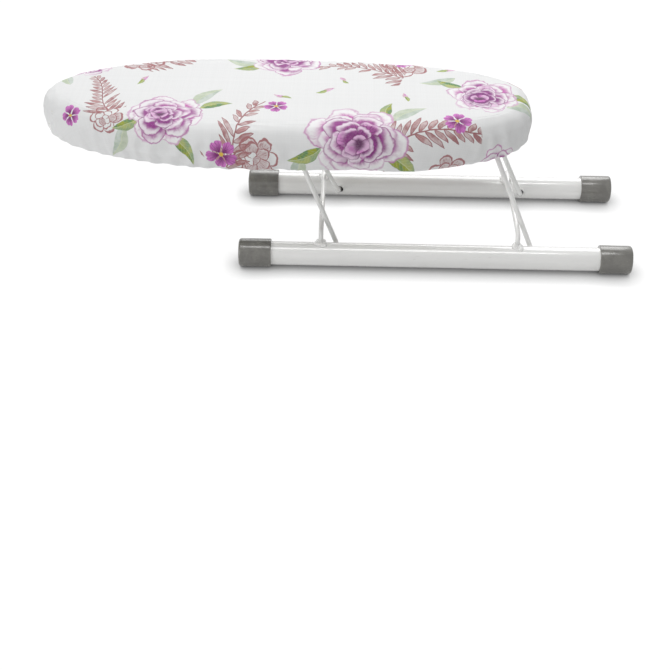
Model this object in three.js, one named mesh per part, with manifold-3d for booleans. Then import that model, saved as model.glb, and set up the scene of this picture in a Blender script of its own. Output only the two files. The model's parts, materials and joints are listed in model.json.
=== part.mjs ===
// Folding table-top ironing board in its fitted printed cover, standing open.
// Millimetres, +Z up. The origin lies on the table, under the middle of the part.
// The nose of the board points to -X, and the foot tubes run along X.

import * as THREE from "three";
import { mergeVertices } from "three/addons/utils/BufferGeometryUtils.js";
import Module from "manifold-3d";

const wasm = await Module();
wasm.setup();

// Plan of the covered board, measured from its widest station
const noseLength = 204;
const heelLength = 288;
const boardWidth = 179;
const noseFullness = 2.0;
const heelFullness = 2.7;
const outlineStations = 48;

// Running and seating clearances
const seatGap = 0.35;
const pivotPlay = 0.5;
const pinPlay = 0.7;

// Cover and its hem
const fabricThickness = 1.0;
const edgeRadius = 15;
const edgeDraw = 1.0;
const hemRadius = 5;
const hemDraw = 1.5;
const crownHeight = 1.2;
const elasticDiameter = 3.2;
const elasticSetback = 2.2;
const casingLip = 3.0;

// Padding and the steel board under it
const padThickness = 11.6;
const panelThickness = 1.0;
const meshLength = 34;
const meshHeight = 18;
const meshStrand = 3.4;
const meshMargin = 4;
const rimSheet = 1.2;
const rimHeight = 26;
const rimTopFlange = 9;
const rimHemFlange = 8.5;

// Cross straps, hinge clips and their rivets
const strapSheet = 1.5;
const strapWidth = 44;
const strapLip = 5;
const clipSheet = 1.5;
const clipWidth = 12;
const clipFoot = 12.5;
const heelClipSetback = 48;
const rivetShank = 3.2;
const rivetHead = 6.4;
const rivetHeadHeight = 1.5;
const rivetTail = 5.0;
const rivetTailHeight = 1.1;

// Wire legs and stop bars
const wireDiameter = 5;
const wireBend = 7;
const legLength = 136.5;
const openLean = THREE.MathUtils.degToRad(23.75);
const topBarWidth = 54;
const footStandoff = 6.5;
const pinReach = 9;
const stopOffset = 16.5;
const stopPostInset = 5;
const weldBead = 8.4;

// Foot tubes and their end caps
const footLength = 400;
const tubeSpacing = 144;
const tubeDiameter = 24;
const tubeWall = 1.2;
const pivotSpacing = 200;
const capLength = 33;
const capWall = 2.15;
const capEnd = 3;
const capEdge = 2.5;
const footFlat = 0.7;

// Facets of the round pieces, the degrees between facets round the cover's top edge,
// and the rings of the crown as shares of the way from the board's middle line to that edge
const edgeStep = 30;
const crownShares = [0.6, 0.2];
const wireSides = 12;
const bendSteps = 5;
const beadRows = 6;
const tubeSides = 28;
const capEdgeSteps = 3;
const clipSteps = 8;
const rivetSides = 10;
const domeSteps = 3;
const elasticSides = 6;

// Radii and heights that follow from the sizes above
const wireRadius = wireDiameter / 2;
const tubeRadius = tubeDiameter / 2;
const capRadius = tubeRadius + seatGap + capWall;
const tubeAxis = capRadius - footFlat;
const pinHole = wireRadius + pinPlay;
const rimBottom = fabricThickness + seatGap;
const rimTop = rimBottom + rimHeight;
const panelBottom = rimTop + seatGap;
const padBottom = panelBottom + panelThickness + seatGap;
const boardThickness = padBottom + padThickness + seatGap + fabricThickness;
const strapTop = rimTop - rimSheet - seatGap;
const strapBottom = strapTop - strapSheet;
const clipTop = strapBottom - seatGap;
const hingeRise = strapBottom - pivotPlay - wireRadius;
const clipBore = wireRadius + pivotPlay;
const rivetStation = clipBore + clipSheet + clipFoot / 2;
const rightClipStation = heelLength - heelClipSetback;
const leftClipStation = rightClipStation - pivotSpacing;

// Arc centres of the cover's section, as inset from the plan and height from the hem
const hemCentre = [hemDraw + hemRadius, hemRadius];
const edgeTop = boardThickness - crownHeight;
const edgeCentre = [edgeDraw + edgeRadius, edgeTop - edgeRadius];
const rimInset = hemCentre[0] - (hemRadius - fabricThickness - seatGap);
const elasticRadius = elasticDiameter / 2;
const elasticInset = rimInset + rimHemFlange + elasticSetback + elasticRadius;
const elasticRise = fabricThickness + seatGap + elasticRadius;
const casingInset = elasticInset + elasticRadius + seatGap;
const casingRise = elasticRise + elasticRadius + seatGap;

// Legs and where they put the board over the feet
const legFootCorner = tubeSpacing / 2 - tubeRadius - footStandoff;
const legTopCorner = topBarWidth / 2;
const legSplay = Math.atan((legFootCorner - legTopCorner) / legLength);
const bendSetback = wireBend * Math.tan((Math.PI / 2 - legSplay) / 2);
const clipStationY = legTopCorner - bendSetback - seatGap - clipWidth / 2;
const legShift = legLength * Math.sin(openLean);
const legRise = legLength * Math.cos(openLean);
const stopSpan = wireDiameter + seatGap;
const stopRise = (stopOffset * Math.cos(openLean) - stopSpan) / Math.sin(openLean);
const boardFromBase = -pivotSpacing / 2 - legShift - leftClipStation;
const baseStation = (noseLength - boardFromBase - footLength / 2) / 2;
const boardStation = baseStation + boardFromBase;
const boardRise = tubeAxis + legRise - hingeRise;

const whitePaint = new THREE.MeshStandardMaterial({ color: 0xf1f1ef, roughness: 0.3, metalness: 0.1 });
const greyCap = new THREE.MeshStandardMaterial({ color: 0x7b7974, roughness: 0.45, metalness: 0 });
const printedCotton = new THREE.MeshStandardMaterial({ color: 0xf3ebee, roughness: 0.9, metalness: 0 });
const padFoam = new THREE.MeshStandardMaterial({ color: 0xe9e4d2, roughness: 1, metalness: 0 });
const elasticCord = new THREE.MeshStandardMaterial({ color: 0xe4e2de, roughness: 0.8, metalness: 0 });
const zincSteel = new THREE.MeshStandardMaterial({ color: 0xb9bbbd, roughness: 0.35, metalness: 0.9 });

function toSolid(geometry) {
  const bare = geometry.clone();
  bare.deleteAttribute("normal");
  bare.deleteAttribute("uv");
  const merged = mergeVertices(bare);
  const vertProperties = new Float32Array(merged.attributes.position.array);
  const triVerts = new Uint32Array(merged.index.array);
  return new wasm.Manifold(new wasm.Mesh({ numProp: 3, vertProperties, triVerts }));
}

function fromSolid(solid) {
  const mesh = solid.getMesh();
  const geometry = new THREE.BufferGeometry();
  geometry.setAttribute("position", new THREE.BufferAttribute(mesh.vertProperties, 3));
  geometry.setIndex(new THREE.BufferAttribute(mesh.triVerts, 1));
  geometry.computeVertexNormals();
  return geometry;
}

function cut(geometry, tools) {
  const solid = tools.reduce((rest, tool) => rest.subtract(toSolid(tool)), toSolid(geometry));
  return fromSolid(solid);
}

function addPiece(group, name, geometry, material) {
  const mesh = new THREE.Mesh(geometry, material.clone());
  mesh.name = name;
  group.add(mesh);
}

function circle(radius, sides) {
  const points = [];
  for (let i = 0; i < sides; i += 1) {
    const angle = (2 * Math.PI * (i + 0.5)) / sides;
    points.push(new THREE.Vector2(radius * Math.cos(angle), radius * Math.sin(angle)));
  }
  return points;
}

// Plan outline: a long full heel and an elliptic nose that share their widest station
function planStation(angle) {
  const along = Math.cos(angle);
  const across = Math.sin(angle);
  const reach = along > 0 ? heelLength : noseLength;
  const fullness = along > 0 ? heelFullness : noseFullness;
  const power = 2 / fullness;
  const steep = (2 * (fullness - 1)) / fullness;
  const half = boardWidth / 2;
  const point = new THREE.Vector2(
    Math.sign(along) * reach * Math.abs(along) ** power,
    Math.sign(across) * half * Math.abs(across) ** power,
  );
  const normal = new THREE.Vector2(
    (Math.sign(along) * Math.abs(along) ** steep) / reach,
    (Math.sign(across) * Math.abs(across) ** steep) / half,
  );
  return { point, normal: normal.normalize() };
}

const plan = [];
for (let i = 0; i < outlineStations; i += 1) {
  plan.push(planStation((2 * Math.PI * i) / outlineStations));
}

function planPoints(inset) {
  return plan.map(({ point, normal }) => point.clone().addScaledVector(normal, -inset));
}

function ring([inset, height]) {
  return planPoints(inset).map((p) => new THREE.Vector3(p.x, p.y, height));
}

// A ring drawn in from the edge of the top towards the board's middle line
function crownRing([inset, height], share, crown) {
  const spineStart = boardWidth / 2 - noseLength;
  const spineEnd = heelLength - boardWidth / 2;
  return planPoints(inset).map((p) => {
    const spine = new THREE.Vector2(THREE.MathUtils.clamp(p.x, spineStart, spineEnd), 0);
    spine.lerp(p, share);
    return new THREE.Vector3(spine.x, spine.y, height + crown * (1 - share * share));
  });
}

// Points of a section arc: -90 degrees is the bottom, 0 the outer side and 90 the top
function sectionArc([inset, height], radius, degrees) {
  return degrees.map((degree) => {
    const angle = THREE.MathUtils.degToRad(degree);
    return [inset - radius * Math.cos(angle), height + radius * Math.sin(angle)];
  });
}

// Skins rings of equal count: the outer side runs upwards, the inner side downwards
function loft(rings, endless) {
  const count = rings[0].length;
  const index = [];
  const spans = endless ? rings.length : rings.length - 1;
  for (let r = 0; r < spans; r += 1) {
    const here = r * count;
    const next = ((r + 1) % rings.length) * count;
    for (let s = 0; s < count; s += 1) {
      const t = (s + 1) % count;
      index.push(here + s, here + t, next + t);
      index.push(here + s, next + t, next + s);
    }
  }
  if (!endless) {
    const top = (rings.length - 1) * count;
    for (let s = 1; s < count - 1; s += 1) {
      index.push(0, s + 1, s);
      index.push(top, top + s, top + s + 1);
    }
  }
  const positions = rings.flat().flatMap((p) => p.toArray());
  const geometry = new THREE.BufferGeometry();
  geometry.setAttribute("position", new THREE.Float32BufferAttribute(positions, 3));
  geometry.setIndex(index);
  geometry.computeVertexNormals();
  return geometry;
}

// A bent wire as stations: straight runs have none between their bends
class WirePath extends THREE.Curve {
  constructor(corners, bend) {
    super();
    this.stations = [];
    const last = corners.length - 1;
    for (let i = 0; i <= last; i += 1) {
      const before = corners[i].clone().sub(corners[Math.max(i - 1, 0)]).normalize();
      const after = corners[Math.min(i + 1, last)].clone().sub(corners[i]).normalize();
      if (i === 0 || i === last) {
        this.stations.push({ point: corners[i], tangent: i === 0 ? after : before });
      } else {
        this.addBend(corners[i], before, after, bend);
      }
    }
  }

  addBend(corner, before, after, bend) {
    const turn = before.angleTo(after);
    const axis = before.clone().cross(after).normalize();
    const toCentre = after.clone().sub(before).normalize();
    const centre = corner.clone().addScaledVector(toCentre, bend / Math.cos(turn / 2));
    const start = corner.clone().addScaledVector(before, -bend * Math.tan(turn / 2)).sub(centre);
    for (let step = 0; step <= bendSteps; step += 1) {
      const angle = (turn * step) / bendSteps;
      const point = start.clone().applyAxisAngle(axis, angle).add(centre);
      this.stations.push({ point, tangent: before.clone().applyAxisAngle(axis, angle) });
    }
  }

  station(share) {
    return this.stations[Math.round(share * (this.stations.length - 1))];
  }

  getPointAt(share, target = new THREE.Vector3()) {
    return target.copy(this.station(share).point);
  }

  getTangentAt(share, target = new THREE.Vector3()) {
    return target.copy(this.station(share).tangent);
  }
}

function bentWire(corners, bend) {
  const extrudePath = new WirePath(corners, bend);
  const steps = extrudePath.stations.length - 1;
  const section = new THREE.Shape(circle(wireRadius, wireSides));
  return new THREE.ExtrudeGeometry(section, { steps, extrudePath, bevelEnabled: false });
}

function cylinderX(radius, length, sides) {
  const shape = new THREE.Shape(circle(radius, sides));
  const geometry = new THREE.ExtrudeGeometry(shape, { depth: length, bevelEnabled: false });
  return geometry.rotateY(Math.PI / 2).translate(-length / 2, 0, 0);
}

// Foot tube with the two pivot holes in the wall that faces the other tube
function footTube(inwards) {
  const length = footLength - 2 * (capEnd + seatGap);
  const shape = new THREE.Shape(circle(tubeRadius, tubeSides));
  shape.holes.push(new THREE.Path(circle(tubeRadius - tubeWall, tubeSides).reverse()));
  const tube = new THREE.ExtrudeGeometry(shape, { depth: length, bevelEnabled: false });
  tube.rotateY(Math.PI / 2).translate(-length / 2, 0, 0);
  const drills = [-1, 1].map((side) => {
    const drill = new THREE.CylinderGeometry(pinHole, pinHole, tubeRadius, wireSides);
    return drill.translate((side * pivotSpacing) / 2, inwards * tubeRadius, 0);
  });
  return cut(tube, drills);
}

// Push-on cap: a cup over the tube end, rounded at its outer edge, with a flat to stand on
function endCap() {
  const bore = tubeRadius + seatGap;
  const profile = [new THREE.Vector2(0, 0)];
  for (let step = 0; step <= capEdgeSteps; step += 1) {
    const angle = (Math.PI / 2) * (step / capEdgeSteps);
    const reach = capRadius - capEdge * (1 - Math.sin(angle));
    profile.push(new THREE.Vector2(reach, capEdge * (1 - Math.cos(angle))));
  }
  profile.push(new THREE.Vector2(capRadius, capLength));
  profile.push(new THREE.Vector2(bore, capLength));
  profile.push(new THREE.Vector2(bore, capEnd));
  profile.push(new THREE.Vector2(0, capEnd));
  const cup = new THREE.LatheGeometry(profile, tubeSides);
  cup.rotateZ(-Math.PI / 2);
  const under = new THREE.BoxGeometry(3 * capLength, 2 * tubeDiameter, tubeDiameter);
  under.translate(0, 0, -tubeAxis - tubeDiameter / 2);
  return cut(cup, [under]);
}

// Wire bridge from tube to tube that the open leg leans on, welded at both feet
function stopBar() {
  const postY = tubeSpacing / 2 - stopPostInset;
  const seatRadius = tubeRadius + seatGap;
  const corners = [
    new THREE.Vector3(0, -postY, 0),
    new THREE.Vector3(0, -postY, stopRise),
    new THREE.Vector3(0, postY, stopRise),
    new THREE.Vector3(0, postY, 0),
  ];
  let solid = toSolid(bentWire(corners, wireBend));
  const beadRise = Math.sqrt(seatRadius ** 2 - stopPostInset ** 2);
  for (const side of [-1, 1]) {
    const bead = new THREE.SphereGeometry(weldBead / 2, wireSides, beadRows);
    solid = solid.add(toSolid(bead.translate(0, side * postY, beadRise)));
  }
  for (const side of [-1, 1]) {
    const tube = cylinderX(seatRadius, 2 * weldBead, tubeSides);
    solid = solid.subtract(toSolid(tube.translate(0, (side * tubeSpacing) / 2, 0)));
    const below = new THREE.BoxGeometry(2 * weldBead, tubeDiameter, seatRadius);
    below.translate(0, (side * tubeSpacing) / 2, -seatRadius / 2);
    solid = solid.subtract(toSolid(below));
  }
  return fromSolid(solid);
}

// U-shaped leg in its own plane: pins out into the tubes, top bar in the board's clips
function legWire() {
  const pinEnd = tubeSpacing / 2 - tubeRadius + pinReach;
  const half = [
    [pinEnd, 0],
    [legFootCorner, 0],
    [legTopCorner, legLength],
  ];
  const left = half.map(([across, up]) => new THREE.Vector3(0, -across, up));
  const right = half.map(([across, up]) => new THREE.Vector3(0, across, up)).reverse();
  return bentWire([...left, ...right], wireBend);
}

// Steel rim: a channel-section band that follows the plan, rounded where the hem wraps it
function rimBand() {
  const outerArc = hemCentre[0] - rimInset;
  const inset = rimInset;
  const bend = [-90, -45, 0];
  const section = [
    [inset + rimHemFlange, rimBottom],
    ...sectionArc(hemCentre, outerArc, bend),
    [inset, rimTop],
    [inset + rimTopFlange, rimTop],
    [inset + rimTopFlange, rimTop - rimSheet],
    [inset + rimSheet, rimTop - rimSheet],
    ...sectionArc(hemCentre, outerArc - rimSheet, bend).reverse(),
    [inset + rimHemFlange, rimBottom + rimSheet],
  ];
  return loft(section.map(ring), true);
}

function insidePlan(x, y, inset) {
  const reach = (x > 0 ? heelLength : noseLength) - inset;
  const fullness = x > 0 ? heelFullness : noseFullness;
  const half = boardWidth / 2 - inset;
  return (Math.abs(x) / reach) ** fullness + (Math.abs(y) / half) ** fullness < 1;
}

// Expanded-steel panel on the rim's top flange: diamond mesh, left blank over the straps
function meshPanel() {
  const shape = new THREE.Shape(planPoints(rimInset + seatGap));
  const slant = Math.hypot(meshLength, meshHeight);
  const pitchX = meshLength + (meshStrand * slant) / meshHeight;
  const pitchY = meshHeight + (meshStrand * slant) / meshLength;
  const border = rimInset + rimTopFlange + meshMargin;
  const strapHalf = strapWidth / 2 + meshMargin;
  const straps = [leftClipStation, rightClipStation];
  const rows = Math.ceil(boardWidth / pitchY);
  const columns = Math.ceil((noseLength + heelLength) / pitchX);
  for (let row = -rows; row <= rows; row += 1) {
    for (let column = -columns; column <= columns; column += 1) {
      const x = leftClipStation + (column + (row % 2 === 0 ? 0.5 : 0)) * pitchX;
      const y = (row * pitchY) / 2;
      const corners = [
        new THREE.Vector2(x - meshLength / 2, y),
        new THREE.Vector2(x, y + meshHeight / 2),
        new THREE.Vector2(x + meshLength / 2, y),
        new THREE.Vector2(x, y - meshHeight / 2),
      ];
      const open = corners.every((p) => insidePlan(p.x, p.y, border));
      const blank = straps.some((strap) => Math.abs(x - strap) < strapHalf + meshLength / 2);
      if (open && !blank) {
        shape.holes.push(new THREE.Path(corners));
      }
    }
  }
  const panel = new THREE.ExtrudeGeometry(shape, { depth: panelThickness, bevelEnabled: false });
  return panel.translate(0, 0, panelBottom);
}

function rivetHole(x, y, height) {
  const radius = rivetShank / 2 + seatGap;
  const drill = new THREE.CylinderGeometry(radius, radius, 4 * strapSheet, rivetSides);
  return drill.rotateX(Math.PI / 2).translate(x, y, height);
}

// Channel strap under the panel, cut to the inside of the rim and drilled for the clips
function crossStrap(station) {
  const half = strapWidth / 2;
  const section = new THREE.Shape([
    new THREE.Vector2(-half, strapTop),
    new THREE.Vector2(-half, strapTop - strapLip),
    new THREE.Vector2(-half + strapSheet, strapTop - strapLip),
    new THREE.Vector2(-half + strapSheet, strapBottom),
    new THREE.Vector2(half - strapSheet, strapBottom),
    new THREE.Vector2(half - strapSheet, strapTop - strapLip),
    new THREE.Vector2(half, strapTop - strapLip),
    new THREE.Vector2(half, strapTop),
  ]);
  const strap = new THREE.ExtrudeGeometry(section, { depth: boardWidth, bevelEnabled: false });
  strap.rotateX(Math.PI / 2).translate(station, boardWidth / 2, 0);
  const inner = new THREE.Shape(planPoints(rimInset + rimSheet + seatGap));
  const well = new THREE.ExtrudeGeometry(inner, { depth: rimTop, bevelEnabled: false });
  const fitted = fromSolid(toSolid(strap).intersect(toSolid(well)));
  const drills = [];
  for (const side of [-1, 1]) {
    for (const end of [-1, 1]) {
      drills.push(rivetHole(station + end * rivetStation, side * clipStationY, strapBottom));
    }
  }
  return cut(fitted, drills);
}

// Saddle clip: two riveted feet and a loop that hangs under the leg's top bar
function hingeClip() {
  const foot = clipBore + clipSheet + clipFoot;
  const footTop = clipTop - hingeRise;
  const footBottom = footTop - clipSheet;
  const outer = clipBore + clipSheet;
  const shape = new THREE.Shape();
  shape.moveTo(-foot, footTop);
  shape.lineTo(-foot, footBottom);
  shape.lineTo(-outer, footBottom);
  shape.absarc(0, 0, outer, Math.PI, 2 * Math.PI, false);
  shape.lineTo(outer, footBottom);
  shape.lineTo(foot, footBottom);
  shape.lineTo(foot, footTop);
  shape.lineTo(clipBore, footTop);
  shape.absarc(0, 0, clipBore, 2 * Math.PI, Math.PI, true);
  shape.lineTo(-clipBore, footTop);
  const clip = new THREE.ExtrudeGeometry(shape, {
    depth: clipWidth,
    curveSegments: clipSteps,
    bevelEnabled: false,
  });
  clip.rotateX(Math.PI / 2).translate(0, clipWidth / 2, 0);
  const drills = [-1, 1].map((end) => rivetHole(end * rivetStation, 0, footBottom));
  return cut(clip, drills);
}

// Rivet on its own axis, from the domed head under the clip to the tail above the strap
function rivet() {
  const gripBottom = clipTop - clipSheet - seatGap;
  const gripTop = strapTop + seatGap;
  const shank = rivetShank / 2;
  const dome = [];
  for (let step = 0; step <= domeSteps; step += 1) {
    const angle = (Math.PI / 2) * (step / domeSteps);
    const drop = rivetHeadHeight * Math.cos(angle);
    dome.push([(rivetHead / 2) * Math.sin(angle), gripBottom - drop]);
  }
  const profile = [
    ...dome,
    [shank, gripBottom],
    [shank, gripTop],
    [rivetTail / 2, gripTop],
    [rivetTail / 2, gripTop + rivetTailHeight],
    [0, gripTop + rivetTailHeight],
  ].map(([reach, height]) => new THREE.Vector2(reach, height));
  return new THREE.LatheGeometry(profile, rivetSides).rotateX(Math.PI / 2);
}

// Foam pad on the panel, with its top edge rounded inside the cover's
function foamPad() {
  const facetDepth = Math.cos(THREE.MathUtils.degToRad(edgeStep / 2));
  const radius = (edgeRadius - fabricThickness) * facetDepth - seatGap;
  const lowest = THREE.MathUtils.radToDeg(Math.asin((padBottom - edgeCentre[1]) / radius));
  const edge = sectionArc(edgeCentre, radius, [lowest, edgeStep, 2 * edgeStep]);
  const shoulder = [edgeCentre[0], padBottom + padThickness - crownHeight];
  const crown = crownShares.map((share) => crownRing(shoulder, share, crownHeight));
  return loft([...[...edge, shoulder].map(ring), ...crown], false);
}

// Fitted cover: crowned top, full sides and a hem turned under the rim round the elastic
function fittedCover() {
  const side = (hemCentre[1] + edgeCentre[1]) / 2;
  const edge = [0, edgeStep, 2 * edgeStep, 3 * edgeStep];
  const hem = [-90, -45, 0];
  const innerEdge = sectionArc(edgeCentre, edgeRadius - fabricThickness, edge).reverse();
  const innerHem = sectionArc(hemCentre, hemRadius - fabricThickness, hem).reverse();
  const outerEdge = sectionArc(edgeCentre, edgeRadius, edge);
  const outerHem = sectionArc(hemCentre, hemRadius, hem);
  const lip = casingInset - casingLip;
  const section = [
    ...innerEdge,
    [fabricThickness, side],
    ...innerHem,
    [casingInset, fabricThickness],
    [casingInset, casingRise],
    [lip, casingRise],
    [lip, casingRise + fabricThickness],
    [casingInset + fabricThickness, casingRise + fabricThickness],
    [casingInset + fabricThickness, 0],
    ...outerHem,
    [0, side],
    ...outerEdge,
  ];
  const lining = innerEdge[0];
  const shoulder = outerEdge[outerEdge.length - 1];
  const innerCrown = crownShares.map((share) => crownRing(lining, share, crownHeight)).reverse();
  const outerCrown = crownShares.map((share) => crownRing(shoulder, share, crownHeight));
  return loft([...innerCrown, ...section.map(ring), ...outerCrown], false);
}

function hemElastic() {
  const section = circle(elasticRadius, elasticSides);
  return loft(section.map((p) => ring([elasticInset - p.x, elasticRise + p.y])), true);
}

const base = new THREE.Group();
base.position.set(baseStation, 0, tubeAxis);
for (const [place, side] of [["front", -1], ["rear", 1]]) {
  const foot = new THREE.Group();
  foot.position.y = (side * tubeSpacing) / 2;
  addPiece(foot, `${place}_foot_tube`, footTube(-side), whitePaint);
  for (const [end, turn] of [["left", 0], ["right", Math.PI]]) {
    const seat = new THREE.Group();
    seat.rotation.z = turn;
    seat.position.x = ((end === "left" ? -1 : 1) * footLength) / 2;
    addPiece(seat, `cap_${place}_${end}`, endCap(), greyCap);
    foot.add(seat);
  }
  base.add(foot);
}

const board = new THREE.Group();
board.position.set(boardStation, 0, boardRise);
addPiece(board, "rim_band", rimBand(), whitePaint);
addPiece(board, "mesh_panel", meshPanel(), whitePaint);
addPiece(board, "foam_pad", foamPad(), padFoam);
addPiece(board, "cover", fittedCover(), printedCotton);
addPiece(board, "hem_elastic", hemElastic(), elasticCord);

const legs = [];
for (const [end, side] of [["left", -1], ["right", 1]]) {
  const pivot = (side * pivotSpacing) / 2;
  const bar = new THREE.Group();
  bar.position.x = pivot - stopOffset;
  addPiece(bar, `${end}_stop_bar`, stopBar(), whitePaint);
  base.add(bar);

  const leg = new THREE.Group();
  leg.position.set(baseStation + pivot, 0, tubeAxis);
  leg.rotation.y = -openLean;
  addPiece(leg, `${end}_leg_wire`, legWire(), whitePaint);
  legs.push(leg);

  const station = side < 0 ? leftClipStation : rightClipStation;
  addPiece(board, `${end}_cross_strap`, crossStrap(station), whitePaint);
  for (const [place, across] of [["front", -clipStationY], ["rear", clipStationY]]) {
    const clip = new THREE.Group();
    clip.position.set(station, across, hingeRise);
    addPiece(clip, `${end}_${place}_clip`, hingeClip(), whitePaint);
    for (const [reach, rivetEnd] of [["inner", -side], ["outer", side]]) {
      const pin = new THREE.Group();
      pin.position.set(rivetEnd * rivetStation, 0, -hingeRise);
      addPiece(pin, `${end}_${place}_rivet_${reach}`, rivet(), zincSteel);
      clip.add(pin);
    }
    board.add(clip);
  }
}

const ironingBoard = new THREE.Group();
ironingBoard.add(base, board, ...legs);

export default ironingBoard;
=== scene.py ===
import json
import math
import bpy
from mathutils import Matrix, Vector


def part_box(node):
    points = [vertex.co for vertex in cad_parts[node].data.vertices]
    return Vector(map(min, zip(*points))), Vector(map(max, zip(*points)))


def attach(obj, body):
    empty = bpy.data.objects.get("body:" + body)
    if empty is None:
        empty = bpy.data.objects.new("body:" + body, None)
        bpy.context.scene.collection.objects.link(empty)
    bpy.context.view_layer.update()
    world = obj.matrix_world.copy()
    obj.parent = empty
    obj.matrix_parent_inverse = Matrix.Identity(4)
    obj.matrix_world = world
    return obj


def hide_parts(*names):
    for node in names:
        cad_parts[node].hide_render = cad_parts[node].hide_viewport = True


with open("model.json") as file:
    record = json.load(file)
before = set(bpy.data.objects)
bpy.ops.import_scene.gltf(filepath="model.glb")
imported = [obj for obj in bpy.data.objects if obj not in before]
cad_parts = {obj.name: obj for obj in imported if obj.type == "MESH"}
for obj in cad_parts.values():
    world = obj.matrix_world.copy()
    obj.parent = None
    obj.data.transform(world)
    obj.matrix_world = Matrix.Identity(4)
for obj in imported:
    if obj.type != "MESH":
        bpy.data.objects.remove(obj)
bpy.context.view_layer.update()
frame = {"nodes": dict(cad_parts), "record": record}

from types import SimpleNamespace

import bmesh
import bpy
from mathutils import Matrix, Vector, noise
from mathutils.bvhtree import BVHTree

scene = bpy.context.scene
pivots = {joint["name"]: Vector(joint["pos_m"]) for joint in frame["record"]["behaviour"]["joints"]}
print("frame loaded with", len(frame["nodes"]), "nodes")


# Camera, floor and lights

photoView = {
    "lens": 68.59,                          # mm, on a 36 mm sensor
    "place": (0.0106, -1.1708, 0.7224),
    "pitch": 36.442,                        # degrees down
    "yaw": 0.617,
    "roll": 0.82,
    "clipStart": 0.05,
}
studio = {
    "floorHalf": 6.0,
    "floorBounce": 0.92,                    # light the floor throws back
    "floorShade": 0.12,                     # share of that which the camera sees
    "floorGlow": 0.95,                      # only what the camera and reflections see
    "contactReach": 0.020,                  # how far the painted contact shadow in the floor's glow spreads
    "contactSamples": 12,
    "skyLight": 0.31,
    "topSize": (0.95, 0.30),
    "topPlace": (0.0, -0.28, 1.45),
    "topPower": 6.3,
    "fillSize": 1.1,
    "fillPlace": (-1.4, -1.2, 0.5),
    "fillPower": 8.2,
    "backSize": 1.2,
    "backPlace": (0.15, 1.3, 1.25),         # reaches under the board's far edge
    "backPower": 18.5,
}


def aimCamera():
    pitch, yaw, roll = (math.radians(photoView[key]) for key in ("pitch", "yaw", "roll"))
    back = Vector((math.sin(yaw) * math.cos(pitch), -math.cos(yaw) * math.cos(pitch), math.sin(pitch)))
    right = Vector((math.cos(yaw), math.sin(yaw), 0))
    up = back.cross(right)
    sideways = right * math.cos(roll) + up * math.sin(roll)
    upright = up * math.cos(roll) - right * math.sin(roll)
    turn = Matrix((sideways, upright, back)).transposed().to_4x4()
    data = bpy.data.cameras.new("photo_view")
    data.lens = photoView["lens"]
    data.clip_start = photoView["clipStart"]
    camera = bpy.data.objects.new("photo_view", data)
    camera.matrix_world = Matrix.Translation(photoView["place"]) @ turn
    scene.collection.objects.link(camera)
    scene.camera = camera


def seenDirectly(tree):
    path = tree.nodes.new("ShaderNodeLightPath")
    direct = larger(tree, path.outputs["Is Camera Ray"], path.outputs["Is Glossy Ray"])
    return larger(tree, direct, path.outputs["Is Transmission Ray"])


def layFloor():
    bm = bmesh.new()
    bmesh.ops.create_grid(bm, x_segments=1, y_segments=1, size=studio["floorHalf"])
    floor = meshObject("floor", bm)
    material = bpy.data.materials.new("pale_floor")
    material.use_nodes = True
    tree = material.node_tree
    tree.nodes.clear()
    seen = seenDirectly(tree)
    bounce = studio["floorBounce"]
    tone = slope(tree, seen, bounce * (studio["floorShade"] - 1), bounce)
    diffuse = tree.nodes.new("ShaderNodeBsdfDiffuse")
    feed(tree, diffuse.inputs["Color"], join(tree, tone, tone, tone))
    # painted contact shadow: ambient occlusion dims the floor's glow beside the tubes and caps
    near = tree.nodes.new("ShaderNodeAmbientOcclusion")
    near.samples = studio["contactSamples"]
    near.inputs["Distance"].default_value = studio["contactReach"]
    glow = tree.nodes.new("ShaderNodeEmission")
    glowWithPaintedContactShadow = times(tree, near.outputs["AO"], studio["floorGlow"])
    feed(tree, glow.inputs["Strength"], times(tree, seen, glowWithPaintedContactShadow))
    both = tree.nodes.new("ShaderNodeAddShader")
    clear = tree.nodes.new("ShaderNodeBsdfTransparent")
    side = tree.nodes.new("ShaderNodeNewGeometry")
    pick = tree.nodes.new("ShaderNodeMixShader")          # clear from below, so the underside can be seen
    out = tree.nodes.new("ShaderNodeOutputMaterial")
    for source, socket in (
            (diffuse.outputs[0], both.inputs[0]), (glow.outputs[0], both.inputs[1]),
            (side.outputs["Backfacing"], pick.inputs[0]), (both.outputs[0], pick.inputs[1]),
            (clear.outputs[0], pick.inputs[2]), (pick.outputs[0], out.inputs["Surface"])):
        tree.links.new(source, socket)
    floor.data.materials.append(material)


def hangLamp(name, place, size, power, depth=None):
    data = bpy.data.lights.new(name, "AREA")
    data.shape = "RECTANGLE"
    data.size = size
    data.size_y = depth or size
    data.energy = power
    lamp = bpy.data.objects.new(name, data)
    lamp.location = place
    lamp.rotation_mode = "QUATERNION"
    lamp.rotation_quaternion = (-Vector(place)).to_track_quat("-Z", "Y")
    scene.collection.objects.link(lamp)


def lightStudio():
    world = bpy.data.worlds.new("studio")
    world.use_nodes = True
    tree = world.node_tree
    sky = tree.nodes["Background"]
    sky.inputs["Color"].default_value = (1, 1, 1, 1)
    seen = seenDirectly(tree)
    strength = slope(tree, seen, 1 - studio["skyLight"], studio["skyLight"])
    feed(tree, sky.inputs["Strength"], strength)
    scene.world = world
    hangLamp("top_light", studio["topPlace"], studio["topSize"][0], studio["topPower"], studio["topSize"][1])
    for lamp in ("fill", "back"):
        hangLamp(f"{lamp}_light", studio[f"{lamp}Place"], studio[f"{lamp}Size"], studio[f"{lamp}Power"])
    scene.view_settings.view_transform = "Standard"


# Shader helpers: each adds nodes to a tree and hands back the socket to use next

def feed(tree, socket, source):
    if isinstance(source, bpy.types.NodeSocket):
        tree.links.new(source, socket)
    else:
        socket.default_value = source


def calc(tree, operation, *terms):
    node = tree.nodes.new("ShaderNodeMath")
    node.operation = operation
    for socket, term in zip(node.inputs, terms):
        feed(tree, socket, term)
    return node.outputs[0]


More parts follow.
